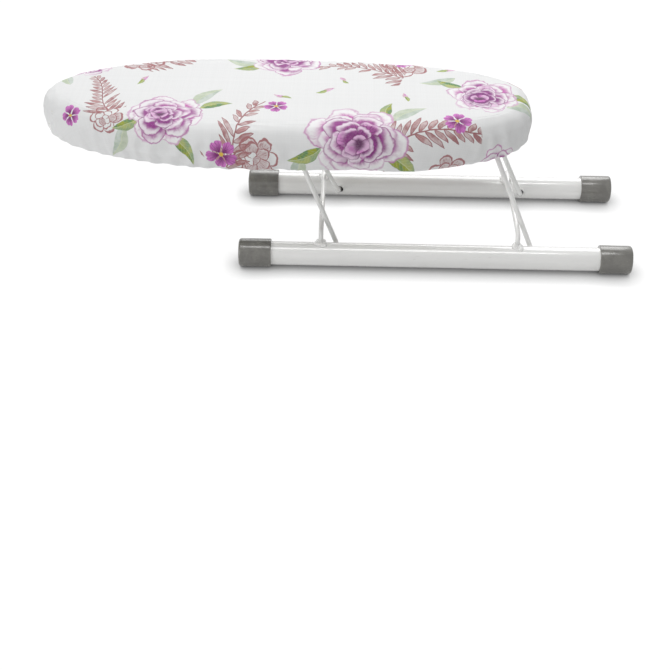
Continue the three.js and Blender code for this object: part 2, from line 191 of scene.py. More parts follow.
def times(tree, first, second):
    return calc(tree, "MULTIPLY", first, second)


def slope(tree, value, factor, offset):
    return calc(tree, "MULTIPLY_ADD", value, factor, offset)


def plus(tree, first, second):
    return calc(tree, "ADD", first, second)


def less(tree, first, second):
    return calc(tree, "SUBTRACT", first, second)


def inverse(tree, value):
    return calc(tree, "SUBTRACT", 1.0, value)


def larger(tree, first, second):
    return calc(tree, "MAXIMUM", first, second)


def calcVector(tree, operation, *terms, scale=None):
    node = tree.nodes.new("ShaderNodeVectorMath")
    node.operation = operation
    for socket, term in zip(node.inputs, terms):
        feed(tree, socket, term)
    if scale is not None:
        feed(tree, node.inputs["Scale"], scale)
    return node.outputs["Value"] if operation == "LENGTH" else node.outputs["Vector"]


def ease(tree, value, low, high):
    node = tree.nodes.new("ShaderNodeMapRange")
    node.interpolation_type = "SMOOTHSTEP"
    feed(tree, node.inputs["Value"], value)
    feed(tree, node.inputs["From Min"], low)
    feed(tree, node.inputs["From Max"], high)
    return node.outputs["Result"]


def mixColour(tree, factor, first, second, mode="MIX"):
    node = tree.nodes.new("ShaderNodeMix")
    node.data_type = "RGBA"
    node.blend_type = mode
    feed(tree, node.inputs[0], factor)
    feed(tree, node.inputs[6], first)
    feed(tree, node.inputs[7], second)
    return node.outputs[2]


def mixVector(tree, factor, first, second):
    node = tree.nodes.new("ShaderNodeMix")
    node.data_type = "VECTOR"
    feed(tree, node.inputs[0], factor)
    feed(tree, node.inputs[4], first)
    feed(tree, node.inputs[5], second)
    return node.outputs[1]


def speckle(tree, vector, scale, detail=2.0, rough=0.5, output="Fac"):
    node = tree.nodes.new("ShaderNodeTexNoise")
    feed(tree, node.inputs["Vector"], vector)
    feed(tree, node.inputs["Scale"], scale)
    node.inputs["Detail"].default_value = detail
    node.inputs["Roughness"].default_value = rough
    return node.outputs[output]


def split(tree, vector):
    node = tree.nodes.new("ShaderNodeSeparateXYZ")
    feed(tree, node.inputs[0], vector)
    return node.outputs[0], node.outputs[1]


def join(tree, x, y, z=0.0):
    node = tree.nodes.new("ShaderNodeCombineXYZ")
    for socket, term in zip(node.inputs, (x, y, z)):
        feed(tree, socket, term)
    return node.outputs[0]


def chance(tree, value, seed):
    node = tree.nodes.new("ShaderNodeTexWhiteNoise")
    node.noise_dimensions = "2D"
    feed(tree, node.inputs["Vector"], join(tree, value, seed))
    return node.outputs["Value"]


def stray(tree, point, cloud, reach):
    offset = calcVector(tree, "SUBTRACT", cloud, (0.5, 0.5, 0.5))
    return calcVector(tree, "ADD", point, calcVector(tree, "SCALE", offset, scale=reach))


def startGroup(name, inputs, outputs):
    tree = bpy.data.node_groups.new(name, "ShaderNodeTree")
    for label, kind, value in inputs:
        socket = tree.interface.new_socket(label, in_out="INPUT", socket_type="NodeSocket" + kind)
        if value is not None:
            socket.default_value = value
    for label, kind in outputs:
        tree.interface.new_socket(label, in_out="OUTPUT", socket_type="NodeSocket" + kind)
    return tree, tree.nodes.new("NodeGroupInput").outputs, tree.nodes.new("NodeGroupOutput").inputs


def useGroup(tree, group, **values):
    node = tree.nodes.new("ShaderNodeGroup")
    node.node_tree = group
    for label, value in values.items():
        feed(tree, node.inputs[label], value)
    return node.outputs


def startMaterial(name, plain):
    material = bpy.data.materials.new(name)
    material.use_nodes = True
    tree = material.node_tree
    surface = tree.nodes["Principled BSDF"]
    for label, value in plain.items():
        surface.inputs[label].default_value = value
    return material, tree, surface.inputs


def addBump(tree, surface, height, strength, distance):
    bump = tree.nodes.new("ShaderNodeBump")
    bump.inputs["Strength"].default_value = strength
    bump.inputs["Distance"].default_value = distance
    feed(tree, bump.inputs["Height"], height)
    tree.links.new(bump.outputs[0], surface["Normal"])


def objectPoint(tree):
    return tree.nodes.new("ShaderNodeTexCoord").outputs["Object"]


# Effects that several finishes share

marksLook = {
    "cloud": (4.0, 0.6), "blotch": (0.38, 0.66),
    "grain": (3.0, 0.55),
    "scuffStretch": (1.0, 6.0, 4.0), "scuffScale": 0.35, "scuffDetail": 1.0, "scuff": (0.66, 0.74),
}
weaveLook = {"warpSeed": 3.0, "weftSeed": 8.0, "crown": 0.5}


def buildHandlingMarks():
    tree, given, made = startGroup(
        "handling_marks",
        [("Point", "Vector", None), ("Blotch Scale", "Float", 30.0), ("Grain Scale", "Float", 600.0)],
        [("Blotch", "Float"), ("Scuff", "Float"), ("Grain", "Float")],
    )
    point = given["Point"]
    cloud = speckle(tree, point, given["Blotch Scale"], *marksLook["cloud"])
    blotch = ease(tree, cloud, *marksLook["blotch"])
    stretched = calcVector(tree, "MULTIPLY", point, marksLook["scuffStretch"])
    lineScale = times(tree, given["Grain Scale"], marksLook["scuffScale"])
    lines = speckle(tree, stretched, lineScale, marksLook["scuffDetail"])
    feed(tree, made["Blotch"], blotch)
    feed(tree, made["Scuff"], times(tree, ease(tree, lines, *marksLook["scuff"]), blotch))
    feed(tree, made["Grain"], speckle(tree, point, given["Grain Scale"], *marksLook["grain"]))
    return tree


def buildWeave():
    tree, given, made = startGroup(
        "plain_weave",
        [("Point", "Vector", None), ("Threads", "Float", 1800.0)],
        [("Height", "Float"), ("Tone", "Float")],
    )
    crown = weaveLook["crown"]
    x, y = split(tree, calcVector(tree, "SCALE", given["Point"], scale=given["Threads"]))
    rowX, rowY = calc(tree, "FLOOR", x), calc(tree, "FLOOR", y)
    archX, archY = (calc(tree, "SINE", times(tree, calc(tree, "FRACT", place), math.pi)) for place in (x, y))
    warp = times(tree, archX, slope(tree, archY, crown, 1 - crown))
    weft = times(tree, archY, slope(tree, archX, crown, 1 - crown))
    over = calc(tree, "FLOORED_MODULO", plus(tree, rowX, rowY), 2.0)      # 1 where the warp lies on top
    under = inverse(tree, over)
    toneX, toneY = chance(tree, rowX, weaveLook["warpSeed"]), chance(tree, rowY, weaveLook["weftSeed"])
    feed(tree, made["Height"], plus(tree, times(tree, warp, over), times(tree, weft, under)))
    feed(tree, made["Tone"], plus(tree, times(tree, toneX, over), times(tree, toneY, under)))
    return tree


# Printed motifs: each takes a point in the motif's own unit disc and gives a colour and a mask

motifLook = {"farOff": (99.0, 99.0, 0.0), "firstSeed": 0.5, "seedStep": 1.37, "seedTilt": 1.7, "twistSeed": 9,
             "cloud": (2.6, 3.0)}
bloomLook = {
    "petals": (                       # reach, count, twist, dip between petals
        (1.00, 6, 0.00, 0.30),
        (0.86, 6, 0.45, 0.30),
        (0.70, 5, 0.20, 0.28),
        (0.54, 5, 0.66, 0.26),
        (0.39, 4, 0.33, 0.24),
        (0.24, 3, 0.80, 0.20),
    ),
    "drawnPetals": ((1.00, 6, 0.00, 0.30), (0.68, 5, 0.40, 0.28), (0.36, 3, 0.15, 0.22)),
    "lean": (-0.13, 0.10),            # the heart sits off the middle
    "ringSeed": 3.7, "wobble": 0.34, "drawnWobble": 0.22,
    "petalSize": (0.24, 0.84),        # what chance adds, and the least
    "petalRound": 2.4, "edge": (1.02, 0.98),
    "fade": (0.66, 0.91),             # where the base gives way to the tip
    "tip": ((0.91, 0.88, 0.90), (0.74, 0.20, 0.64)),       # outermost ring, innermost ring
    "base": ((0.60, 0.12, 0.46), (0.17, 0.004, 0.15)),
    "brush": {"fine": 9.0, "step": 5.3, "run": 1.4, "cloud": (1.7, 3.0, 0.6), "fade": (0.46, 0.62)},
    "boldest": 0.72, "boldInk": (-0.55, 0.75), "bold": (0.25, 0.006, 0.22, 1),
    "streakInk": (-0.70, 0.95), "streakDeeper": 0.35,      # deeper: how many rings' share further in
    "cloud": (2.8, 2.0), "wash": (0.36, 0.50), "washLoss": 0.55, "white": (0.92, 0.91, 0.92, 1),
    "overlap": (0.26, 0.5), "overlapInk": 0.55, "overlapDeeper": 0.4,
    "gap": (0.90, 0.99), "gapInk": 0.8, "crease": (0.19, 0.012, 0.14, 1),
    "rim": (0.93, 0.98), "rimInk": (0.6, 0.3), "rimDeeper": 0.2,
    "heartFade": (0.15, 0.04), "heartInk": 0.9, "heart": (0.09, 0.006, 0.075, 1),
    "line": (0.40, 0.155, 0.165, 1), "drawnRim": (0.86, 0.92), "drawnGap": (0.80, 0.92),
    "drawnFill": (0.98, 0.74), "unfilled": 0.45, "hatch": (0.45, 0.40),
}
blossomLook = {
    "deep": (0.22, 0.012, 0.18, 1), "light": (0.70, 0.20, 0.62, 1), "fade": (0.25, 0.95),
    "count": 5, "twist": 0.1, "wobble": 0.16, "petalSize": (0.18, 0.84), "edge": (1.03, 0.96),
    "petalRound": 2.2, "bulge": (-0.34, 0.96), "notch": (0.22, 0.0), "notchDepth": 0.10,
    "throat": (0.0, 0.55), "spread": (0.42, 0.52), "side": (-0.02, 0.06),
    "brush": {"fine": 10.0, "step": 4.1, "run": 1.2, "cloud": (1.8, 2.0), "fade": (0.45, 0.62)},
    "streakInk": 0.55, "vein": (0.10, 0.02), "veinEnd": (0.75, 0.4), "veinInk": 0.8,
    "streak": (0.10, 0.005, 0.09, 1), "eyeEdge": (0.16, 0.11), "eye": (0.75, 0.52, 0.06, 1),
}
leafLook = {
    "warm": (0.35, 0.39, 0.02, 1), "cool": (0.09, 0.24, 0.09, 1), "cloud": (2.2, 3.0), "wash": (0.40, 0.62),
    "width": 0.36, "least": 0.0001, "bend": 0.22, "lift": 0.08, "taper": -0.42,
    "edge": (-0.01, 0.03), "tip": (1.0, 0.97), "side": (-0.02, 0.02), "sideInk": 0.35,
    "sideTint": (0.62, 0.68, 0.42, 1), "veins": 5.0, "rib": (0.10, 0.02), "ribInk": 0.55,
    "mid": (0.035, 0.012), "veinInk": 0.55, "veinTint": (0.70, 0.74, 0.50, 1), "rim": (0.80, 0.98),
    "rimInk": 0.5,
}
sprigLook = {
    "line": (0.33, 0.11, 0.12, 1), "wash": (0.50, 0.25, 0.25, 1),
    "sway": 0.16, "swayPitch": 2.1, "foot": (-1.0, -0.97), "head": (0.99, 0.96), "stem": (0.020, 0.008),
    "pairs": 5.5, "slant": 0.9, "otherSide": 40.0, "missing": 0.12,
    "leafReach": 0.40, "shorten": (-0.38, 0.72), "byChance": (0.7, 0.75), "leafTip": (1.0, 0.96),
    "leafWidth": 0.078, "leafRound": 0.8, "leafEdge": (-0.006, 0.006), "core": (0.012, 0.026),
    "vein": (0.010, 0.003), "veinInk": 0.7, "seedLift": 3.0, "cloud": (4.0, 3.0), "patch": (0.38, 0.62),
    "unfilled": 0.55, "patchInk": 0.75, "hollow": (-0.45, 0.48),
}


def motifSockets(name, **colours):
    inputs = [("Point", "Vector", None), ("Seed", "Float", 0.0)]
    inputs += [(label, "Color", value) for label, value in colours.items()]
    return startGroup(name, inputs, [("Colour", "Color"), ("Mask", "Float")])


def polar(tree, point, seed, wobble):
    shift = calcVector(tree, "ADD", point, join(tree, seed, times(tree, seed, motifLook["seedTilt"])))
    cloud = speckle(tree, shift, *motifLook["cloud"], output="Color")
    x, y = split(tree, stray(tree, point, cloud, wobble))
    radius = calc(tree, "SQRT", plus(tree, times(tree, x, x), times(tree, y, y)))
    turns = slope(tree, calc(tree, "ARCTAN2", y, x), 0.5 / math.pi, 0.5)
    return radius, turns, shift


def petalSlot(tree, turns, count, twist, seed):
    along = slope(tree, turns, count, twist * count)
    cell = calc(tree, "FLOORED_MODULO", calc(tree, "FLOOR", along), count)
    across = less(tree, calc(tree, "FRACT", along), 0.5)
    luck = chance(tree, cell, plus(tree, seed, twist * motifLook["twistSeed"] + count))
    return cell, across, luck


def brushStreak(tree, brush, across, cell, radius, seed):
    slot = slope(tree, across, brush["fine"], times(tree, cell, brush["step"]))
    place = join(tree, slot, times(tree, radius, brush["run"]), seed)       # long in the way the petal runs
    return ease(tree, speckle(tree, place, *brush["cloud"]), *brush["fade"])


def blendTuple(pair, share):
    return tuple(a + (b - a) * share for a, b in zip(*pair)) + (1.0,)


def petalRing(tree, given, rings, ring, wobble):
    reach, count, twist, dip = rings[ring]
    share = ring / (len(rings) - 1)
    middle = join(tree, bloomLook["lean"][0] * share, bloomLook["lean"][1] * share)
    seed = plus(tree, given["Seed"], bloomLook["ringSeed"] * ring)
    point = calcVector(tree, "SUBTRACT", given["Point"], middle)
    radius, turns, shift = polar(tree, point, seed, wobble)
    cell, across, luck = petalSlot(tree, turns, count, twist, seed)
    wide = calc(tree, "ABSOLUTE", times(tree, across, 2.0))
    byChance, least = bloomLook["petalSize"]
    size = slope(tree, luck, byChance * reach, least * reach)
    edge = times(tree, size, slope(tree, calc(tree, "POWER", wide, bloomLook["petalRound"]), -dip, 1.0))
    out = calc(tree, "DIVIDE", radius, edge)
    streak = brushStreak(tree, bloomLook["brush"], across, cell, radius, seed)
    inside = ease(tree, out, *bloomLook["edge"])
    return SimpleNamespace(share=share, radius=radius, shift=shift, across=across, wide=wide, out=out,
                           luck=luck, streak=streak, inside=inside)


def paintPetal(tree, petal, innermost):
    def baseTint(deeper=0.0):
        return blendTuple(bloomLook["base"], min(1.0, petal.share + deeper))

    start, end = bloomLook["fade"]
    depth = ease(tree, petal.out, 0.0 if innermost else start, end)
    paint = mixColour(tree, depth, baseTint(), blendTuple(bloomLook["tip"], petal.share))
    chosen = calc(tree, "GREATER_THAN", petal.luck, bloomLook["boldest"])
    bold = times(tree, chosen, slope(tree, depth, *bloomLook["boldInk"]))
    paint = mixColour(tree, bold, paint, bloomLook["bold"])
    fading = times(tree, petal.streak, slope(tree, depth, *bloomLook["streakInk"]))
    paint = mixColour(tree, fading, paint, baseTint(bloomLook["streakDeeper"]))
    wash = ease(tree, speckle(tree, petal.shift, *bloomLook["cloud"]), *bloomLook["wash"])
    pale = times(tree, wash, times(tree, depth, 1.0 - bloomLook["washLoss"] * petal.share))
    paint = mixColour(tree, pale, paint, bloomLook["white"])
    # the next petal overlaps this one's side
    under = times(tree, ease(tree, petal.across, *bloomLook["overlap"]), bloomLook["overlapInk"])
    paint = mixColour(tree, under, paint, baseTint(bloomLook["overlapDeeper"]))
    gap = ease(tree, petal.wide, *bloomLook["gap"])
    paint = mixColour(tree, times(tree, gap, bloomLook["gapInk"]), paint, bloomLook["crease"])
    rim = times(tree, ease(tree, petal.out, *bloomLook["rim"]), slope(tree, petal.luck, *bloomLook["rimInk"]))
    return mixColour(tree, rim, paint, baseTint(bloomLook["rimDeeper"]))


def buildBloom():
    tree, given, made = motifSockets("layered_bloom")
    rings = bloomLook["petals"]
    colour, mask = None, None
    for ring in range(len(rings)):
        petal = petalRing(tree, given, rings, ring, bloomLook["wobble"])
        paint = paintPetal(tree, petal, ring + 1 == len(rings))
        colour = paint if colour is None else mixColour(tree, petal.inside, colour, paint)
        mask = petal.inside if mask is None else larger(tree, mask, petal.inside)
    heart = times(tree, ease(tree, petal.radius, *bloomLook["heartFade"]), bloomLook["heartInk"])
    feed(tree, made["Colour"], mixColour(tree, heart, colour, bloomLook["heart"]))
    feed(tree, made["Mask"], mask)
    return tree


def buildLineBloom():
    tree, given, made = motifSockets("line_bloom", Line=bloomLook["line"])
    rings = bloomLook["drawnPetals"]
    mask = None
    for ring in range(len(rings)):
        petal = petalRing(tree, given, rings, ring, bloomLook["drawnWobble"])
        rim = ease(tree, petal.out, *bloomLook["drawnRim"])
        lines = larger(tree, rim, ease(tree, petal.wide, *bloomLook["drawnGap"]))
        chosen = calc(tree, "GREATER_THAN", petal.luck, bloomLook["unfilled"])
        filled = times(tree, chosen, ease(tree, petal.out, *bloomLook["drawnFill"]))
        ink = larger(tree, lines, times(tree, filled, slope(tree, petal.streak, *bloomLook["hatch"])))
        drawn = times(tree, ink, petal.inside)
        mask = drawn if mask is None else larger(tree, times(tree, mask, inverse(tree, petal.inside)), drawn)
    feed(tree, made["Colour"], given["Line"])
    feed(tree, made["Mask"], mask)
    return tree


def buildBlossom():
    look = blossomLook
    tree, given, made = motifSockets("five_petal_blossom", Deep=look["deep"], Light=look["light"])
    radius, turns, _ = polar(tree, given["Point"], given["Seed"], look["wobble"])
    cell, across, luck = petalSlot(tree, turns, look["count"], look["twist"], given["Seed"])
    wide = calc(tree, "ABSOLUTE", times(tree, across, 2.0))
    edge = slope(tree, calc(tree, "POWER", wide, look["petalRound"]), *look["bulge"])
    edge = slope(tree, ease(tree, wide, *look["notch"]), -look["notchDepth"], edge)
    edge = times(tree, edge, slope(tree, luck, *look["petalSize"]))
    out = calc(tree, "DIVIDE", radius, edge)
    spread = slope(tree, ease(tree, radius, *look["throat"]), *look["spread"])
    inside = times(tree, ease(tree, out, *look["edge"]), ease(tree, less(tree, spread, wide), *look["side"]))
    streak = brushStreak(tree, look["brush"], across, cell, radius, given["Seed"])
    tint = mixColour(tree, ease(tree, out, *look["fade"]), given["Deep"], given["Light"])
    tint = mixColour(tree, times(tree, streak, look["streakInk"]), tint, given["Deep"])
    vein = times(tree, ease(tree, wide, *look["vein"]), ease(tree, out, *look["veinEnd"]))
    tint = mixColour(tree, times(tree, vein, look["veinInk"]), tint, look["streak"])
    eye = ease(tree, radius, *look["eyeEdge"])
    feed(tree, made["Colour"], mixColour(tree, eye, tint, look["eye"]))
    feed(tree, made["Mask"], larger(tree, inside, eye))
    return tree


def buildLeaf():
    look = leafLook
    tree, given, made = motifSockets("single_leaf", Warm=look["warm"], Cool=look["cool"])
    x, y = split(tree, given["Point"])
    along = times(tree, x, x)
    y = slope(tree, along, look["bend"], less(tree, y, look["lift"]))
    off = calc(tree, "ABSOLUTE", y)
    belly = times(tree, slope(tree, x, look["taper"], 1.0), look["width"])
    half = times(tree, larger(tree, inverse(tree, along), look["least"]), belly)
    inside = times(tree, ease(tree, less(tree, half, off), *look["edge"]), ease(tree, along, *look["tip"]))
    shift = calcVector(tree, "ADD", given["Point"], join(tree, given["Seed"], 0.0))
    wash = ease(tree, speckle(tree, shift, *look["cloud"]), *look["wash"])
    tint = mixColour(tree, wash, given["Warm"], given["Cool"])
    tint = mixColour(tree, times(tree, ease(tree, y, *look["side"]), look["sideInk"]), tint, look["sideTint"])
    ribs = calc(tree, "FRACT", times(tree, less(tree, x, off), look["veins"]))
    rib = ease(tree, calc(tree, "ABSOLUTE", less(tree, ribs, 0.5)), *look["rib"])
    vein = larger(tree, ease(tree, off, *look["mid"]), times(tree, rib, look["ribInk"]))
    tint = mixColour(tree, times(tree, vein, look["veinInk"]), tint, look["veinTint"])
    rim = ease(tree, calc(tree, "DIVIDE", off, half), *look["rim"])
    feed(tree, made["Colour"], mixColour(tree, times(tree, rim, look["rimInk"]), tint, given["Cool"]))
    feed(tree, made["Mask"], inside)
    return tree


def buildSprig():
    look = sprigLook
    tree, given, made = motifSockets("line_sprig", Line=look["line"], Wash=look["wash"])
    x, y = split(tree, given["Point"])
    swing = calc(tree, "SINE", slope(tree, x, look["swayPitch"], given["Seed"]))
    y = slope(tree, swing, -look["sway"], y)
    off = calc(tree, "ABSOLUTE", y)
    within = times(tree, ease(tree, x, *look["foot"]), ease(tree, x, *look["head"]))
    stem = times(tree, ease(tree, off, *look["stem"]), within)
    # leaf pairs sit in slanted slots along the stem, the two sides half a slot apart
    half = times(tree, calc(tree, "GREATER_THAN", y, 0.0), 0.5)
    slot = slope(tree, slope(tree, off, -look["slant"], x), look["pairs"], half)
    cell = plus(tree, calc(tree, "FLOOR", slot), times(tree, half, look["otherSide"]))
    luck = chance(tree, cell, given["Seed"])
    reach = times(tree, slope(tree, x, *look["shorten"]), look["leafReach"])
    out = calc(tree, "DIVIDE", off, times(tree, reach, slope(tree, luck, *look["byChance"])))
    across = calc(tree, "DIVIDE", less(tree, calc(tree, "FRACT", slot), 0.5), look["pairs"])
    across = calc(tree, "ABSOLUTE", across)
    way = calc(tree, "POWER", calc(tree, "MINIMUM", out, 1.0), look["leafRound"])
    belly = times(tree, calc(tree, "SINE", times(tree, way, math.pi)), look["leafWidth"])
    gap = less(tree, belly, across)
    rooted = times(tree, within, calc(tree, "GREATER_THAN", luck, look["missing"]))
    rooted = times(tree, rooted, ease(tree, out, *look["leafTip"]))
    leaf = times(tree, ease(tree, gap, *look["leafEdge"]), rooted)
    core = ease(tree, gap, *look["core"])
    vein = ease(tree, across, *look["vein"])
    shift = calcVector(tree, "ADD", given["Point"], join(tree, given["Seed"], look["seedLift"]))
    patch = ease(tree, speckle(tree, shift, *look["cloud"]), *look["patch"])
    fill = times(tree, core, inverse(tree, times(tree, vein, look["veinInk"])))
    tint = mixColour(tree, fill, given["Line"], given["Wash"])
    full = times(tree, patch, calc(tree, "GREATER_THAN", luck, look["unfilled"]))
    feed(tree, made["Colour"], mixColour(tree, times(tree, full, look["patchInk"]), tint, given["Line"]))
    solid = inverse(tree, times(tree, core, slope(tree, patch, *look["hollow"])))
    feed(tree, made["Mask"], larger(tree, stem, times(tree, leaf, solid)))
    return tree


# Where each motif lies on the flat cloth: along the board, across it, radius (metres), turn (degrees)

printLayers = (
    {"motif": "sprig", "colours": {}, "places": (
        (-0.092, -0.070, 0.050, 62), (0.088, -0.078, 0.052, 20), (-0.236, -0.012, 0.040, 118),
        (0.020, 0.050, 0.046, 165), (-0.160, 0.075, 0.044, 12), (0.178, 0.062, 0.040, 100),
        (-0.010, 0.122, 0.044, 30), (0.150, -0.128, 0.036, 170))},
    {"motif": "line_bloom", "colours": {}, "places": (
        (-0.078, -0.108, 0.024, 30), (0.114, -0.112, 0.022, 200), (-0.205, 0.064, 0.026, 80),
        (0.062, 0.060, 0.025, 310), (-0.225, -0.058, 0.018, 140), (0.160, 0.108, 0.026, 10))},
    {"motif": "leaf", "colours": {"Warm": (0.46, 0.55, 0.46, 1), "Cool": (0.62, 0.68, 0.63, 1)}, "places": (
        (-0.132, -0.016, 0.022, 55), (-0.215, -0.085, 0.020, 230), (0.066, -0.044, 0.022, 40),
        (-0.040, -0.122, 0.020, 250), (0.182, -0.022, 0.020, 5), (-0.102, 0.064, 0.020, 160),
        (0.098, 0.028, 0.020, 200), (-0.275, 0.020, 0.016, 100), (0.134, 0.126, 0.020, 70))},
    {"motif": "leaf", "colours": {}, "places": (
        (-0.121, -0.034, 0.017, 20), (-0.203, -0.068, 0.016, 195), (-0.148, -0.098, 0.018, 300),
        (0.066, -0.108, 0.021, 330), (-0.032, -0.104, 0.018, 205), (0.046, -0.038, 0.016, 80),
        (0.178, -0.006, 0.018, 345), (0.108, 0.022, 0.015, 150), (-0.095, 0.052, 0.016, 200),
        (-0.020, 0.092, 0.017, 20), (0.130, 0.118, 0.018, 40), (-0.215, 0.110, 0.017, 160))},
    {"motif": "bloom", "colours": {}, "places": (
        (-0.166, -0.056, 0.040, 20), (0.016, -0.082, 0.050, 140), (0.142, -0.004, 0.038, 75),
        (-0.060, 0.074, 0.038, 250), (-0.258, 0.050, 0.026, 10), (0.098, 0.108, 0.042, 310),
        (-0.178, 0.128, 0.034, 200), (0.178, -0.100, 0.032, 100))},
    {"motif": "leaf", "colours": {"Warm": (0.62, 0.16, 0.54, 1), "Cool": (0.80, 0.50, 0.70, 1)}, "places": (
        (-0.012, 0.004, 0.008, 40), (0.064, -0.006, 0.007, 110), (-0.198, 0.022, 0.008, 70),
        (-0.060, -0.012, 0.007, 160), (0.110, 0.056, 0.008, 20), (0.002, 0.028, 0.006, 300))},
    {"motif": "leaf", "colours": {"Warm": (0.36, 0.42, 0.03, 1), "Cool": (0.16, 0.30, 0.06, 1)}, "places": (
        (-0.019, -0.001, 0.007, 210), (0.066, -0.013, 0.006, 280), (-0.201, 0.014, 0.007, 250),
        (-0.053, -0.014, 0.006, 340), (0.103, 0.054, 0.007, 195), (0.004, 0.023, 0.005, 130))},
    {"motif": "blossom", "colours": {}, "places": (
        (-0.062, -0.034, 0.014, 15), (-0.112, -0.104, 0.017, 80), (0.112, -0.056, 0.016, 40),
        (-0.262, -0.048, 0.013, 60), (0.062, 0.074, 0.014, 10), (-0.118, 0.094, 0.013, 200),
        (0.172, 0.042, 0.011, 70), (-0.040, -0.136, 0.013, 0), (0.080, -0.136, 0.014, 33))},
)


def buildPicker():
    tree, given, made = startGroup(
        "nearest_motif",
        [("Flat", "Vector", None), ("Centre", "Vector", None), ("Turn", "Float", 0.0), ("Size", "Float", 1.0),
         ("Number", "Float", 0.0), ("Last Point", "Vector", None), ("Last Seed", "Float", 0.0)],
        [("Point", "Vector"), ("Seed", "Float")],
    )
    lastPoint, lastSeed = given["Last Point"], given["Last Seed"]
    turned = tree.nodes.new("ShaderNodeVectorRotate")
    turned.rotation_type = "Z_AXIS"
    feed(tree, turned.inputs["Vector"], calcVector(tree, "SUBTRACT", given["Flat"], given["Centre"]))
    feed(tree, turned.inputs["Angle"], given["Turn"])
    point = calcVector(tree, "SCALE", turned.outputs[0], scale=calc(tree, "DIVIDE", 1.0, given["Size"]))
    nearer = calc(tree, "LESS_THAN", calcVector(tree, "LENGTH", point), calcVector(tree, "LENGTH", lastPoint))
    feed(tree, made["Point"], mixVector(tree, nearer, lastPoint, point))
    feed(tree, made["Seed"], slope(tree, less(tree, given["Number"], lastSeed), nearer, lastSeed))
    return tree


def placeMotif(tree, picker, flat, places):
    point, seed = motifLook["farOff"], 0.0
    for number, (x, y, size, turn) in enumerate(places):
        picked = useGroup(tree, picker, **{
            "Flat": flat, "Centre": (x, y, 0.0), "Turn": -math.radians(turn), "Size": size,
            "Number": motifLook["seedStep"] * number + motifLook["firstSeed"],
            "Last Point": point, "Last Seed": seed})
        point, seed = picked["Point"], picked["Seed"]
    return point, seed


# Finishes: wear is the scale of blotches and of grain, a bump its strength and its depth in metres

cottonLook = {
    "plain": {"Roughness": 0.86, "Sheen Weight": 0.12, "Sheen Roughness": 0.5},
    "ground": (0.85, 0.855, 0.855, 1), "drift": (130.0, 3.0, 0.6), "wobble": 0.0022, "ink": 0.97,
    "worn": (900.0, 2.0), "wornFade": (0.50, 0.75), "wornShare": 0.12,
    "threads": 1700.0, "threadTone": (0.045, 0.955),
    "slubStretch": (1.0, 7.0, 1.0), "slub": (220.0, 2.0), "slubHeight": 0.6, "bump": (0.25, 0.00022),
}


def makeCotton(weave):
    look = cottonLook
    material, tree, surface = startMaterial("printed_cotton", look["plain"])
    flatMap = tree.nodes.new("ShaderNodeUVMap")
    flatMap.uv_map = "flat"
    flat = flatMap.outputs[0]
    drawn = stray(tree, flat, speckle(tree, flat, *look["drift"], output="Color"), look["wobble"])
    picker = buildPicker()
    motifs = {"sprig": buildSprig(), "leaf": buildLeaf(), "blossom": buildBlossom(), "bloom": buildBloom(),
              "line_bloom": buildLineBloom()}
    colour = look["ground"]
    for layer in printLayers:
        point, seed = placeMotif(tree, picker, drawn, layer["places"])
        motif = useGroup(tree, motifs[layer["motif"]], Point=point, Seed=seed, **layer["colours"])
        colour = mixColour(tree, times(tree, motif["Mask"], look["ink"]), colour, motif["Colour"])
    worn = ease(tree, speckle(tree, flat, *look["worn"]), *look["wornFade"])
    colour = mixColour(tree, times(tree, worn, look["wornShare"]), colour, look["ground"])
    cloth = useGroup(tree, weave, Point=flat, Threads=look["threads"])
    tone = slope(tree, cloth["Tone"], *look["threadTone"])
    colour = mixColour(tree, 1.0, colour, join(tree, tone, tone, tone), "MULTIPLY")
    feed(tree, surface["Base Color"], colour)
    slub = speckle(tree, calcVector(tree, "MULTIPLY", flat, look["slubStretch"]), *look["slub"])
    addBump(tree, surface, slope(tree, slub, look["slubHeight"], cloth["Height"]), *look["bump"])
    return material


def showWear(tree, marks, scales):
    blotch, grain = scales
    return useGroup(tree, marks, **{"Point": objectPoint(tree), "Blotch Scale": blotch, "Grain Scale": grain})


enamelLook = {
    "plain": {"Coat Weight": 0.7, "Coat Roughness": 0.07}, "wear": (18.0, 420.0),
    "fresh": (0.895, 0.895, 0.88, 1), "dulled": (0.82, 0.82, 0.805, 1), "chip": (0.33, 0.32, 0.31, 1),
    "dulledShare": 0.22, "chipShare": 0.10, "roughness": (0.06, 0.19), "bump": (0.012, 0.0002),
}


def makeEnamel(marks):
    look = enamelLook
    material, tree, surface = startMaterial("white_enamel", look["plain"])
    worn = showWear(tree, marks, look["wear"])
    colour = mixColour(tree, times(tree, worn["Blotch"], look["dulledShare"]), look["fresh"], look["dulled"])
    colour = mixColour(tree, times(tree, worn["Scuff"], look["chipShare"]), colour, look["chip"])
    feed(tree, surface["Base Color"], colour)
    feed(tree, surface["Roughness"], slope(tree, worn["Blotch"], *look["roughness"]))
    addBump(tree, surface, worn["Grain"], *look["bump"])
    return material


capLook = {
    "plain": {"Coat Weight": 0.45, "Coat Roughness": 0.12}, "wear": (70.0, 900.0),
    "dark": (0.150, 0.146, 0.132, 1), "light": (0.192, 0.187, 0.170, 1), "scuffed": (0.42, 0.41, 0.38, 1),
    "scuffShare": 0.4, "roughness": (0.16, 0.15), "lump": (260.0, 2.0), "grainHeight": 0.35,
    "bump": (0.24, 0.0006),
}


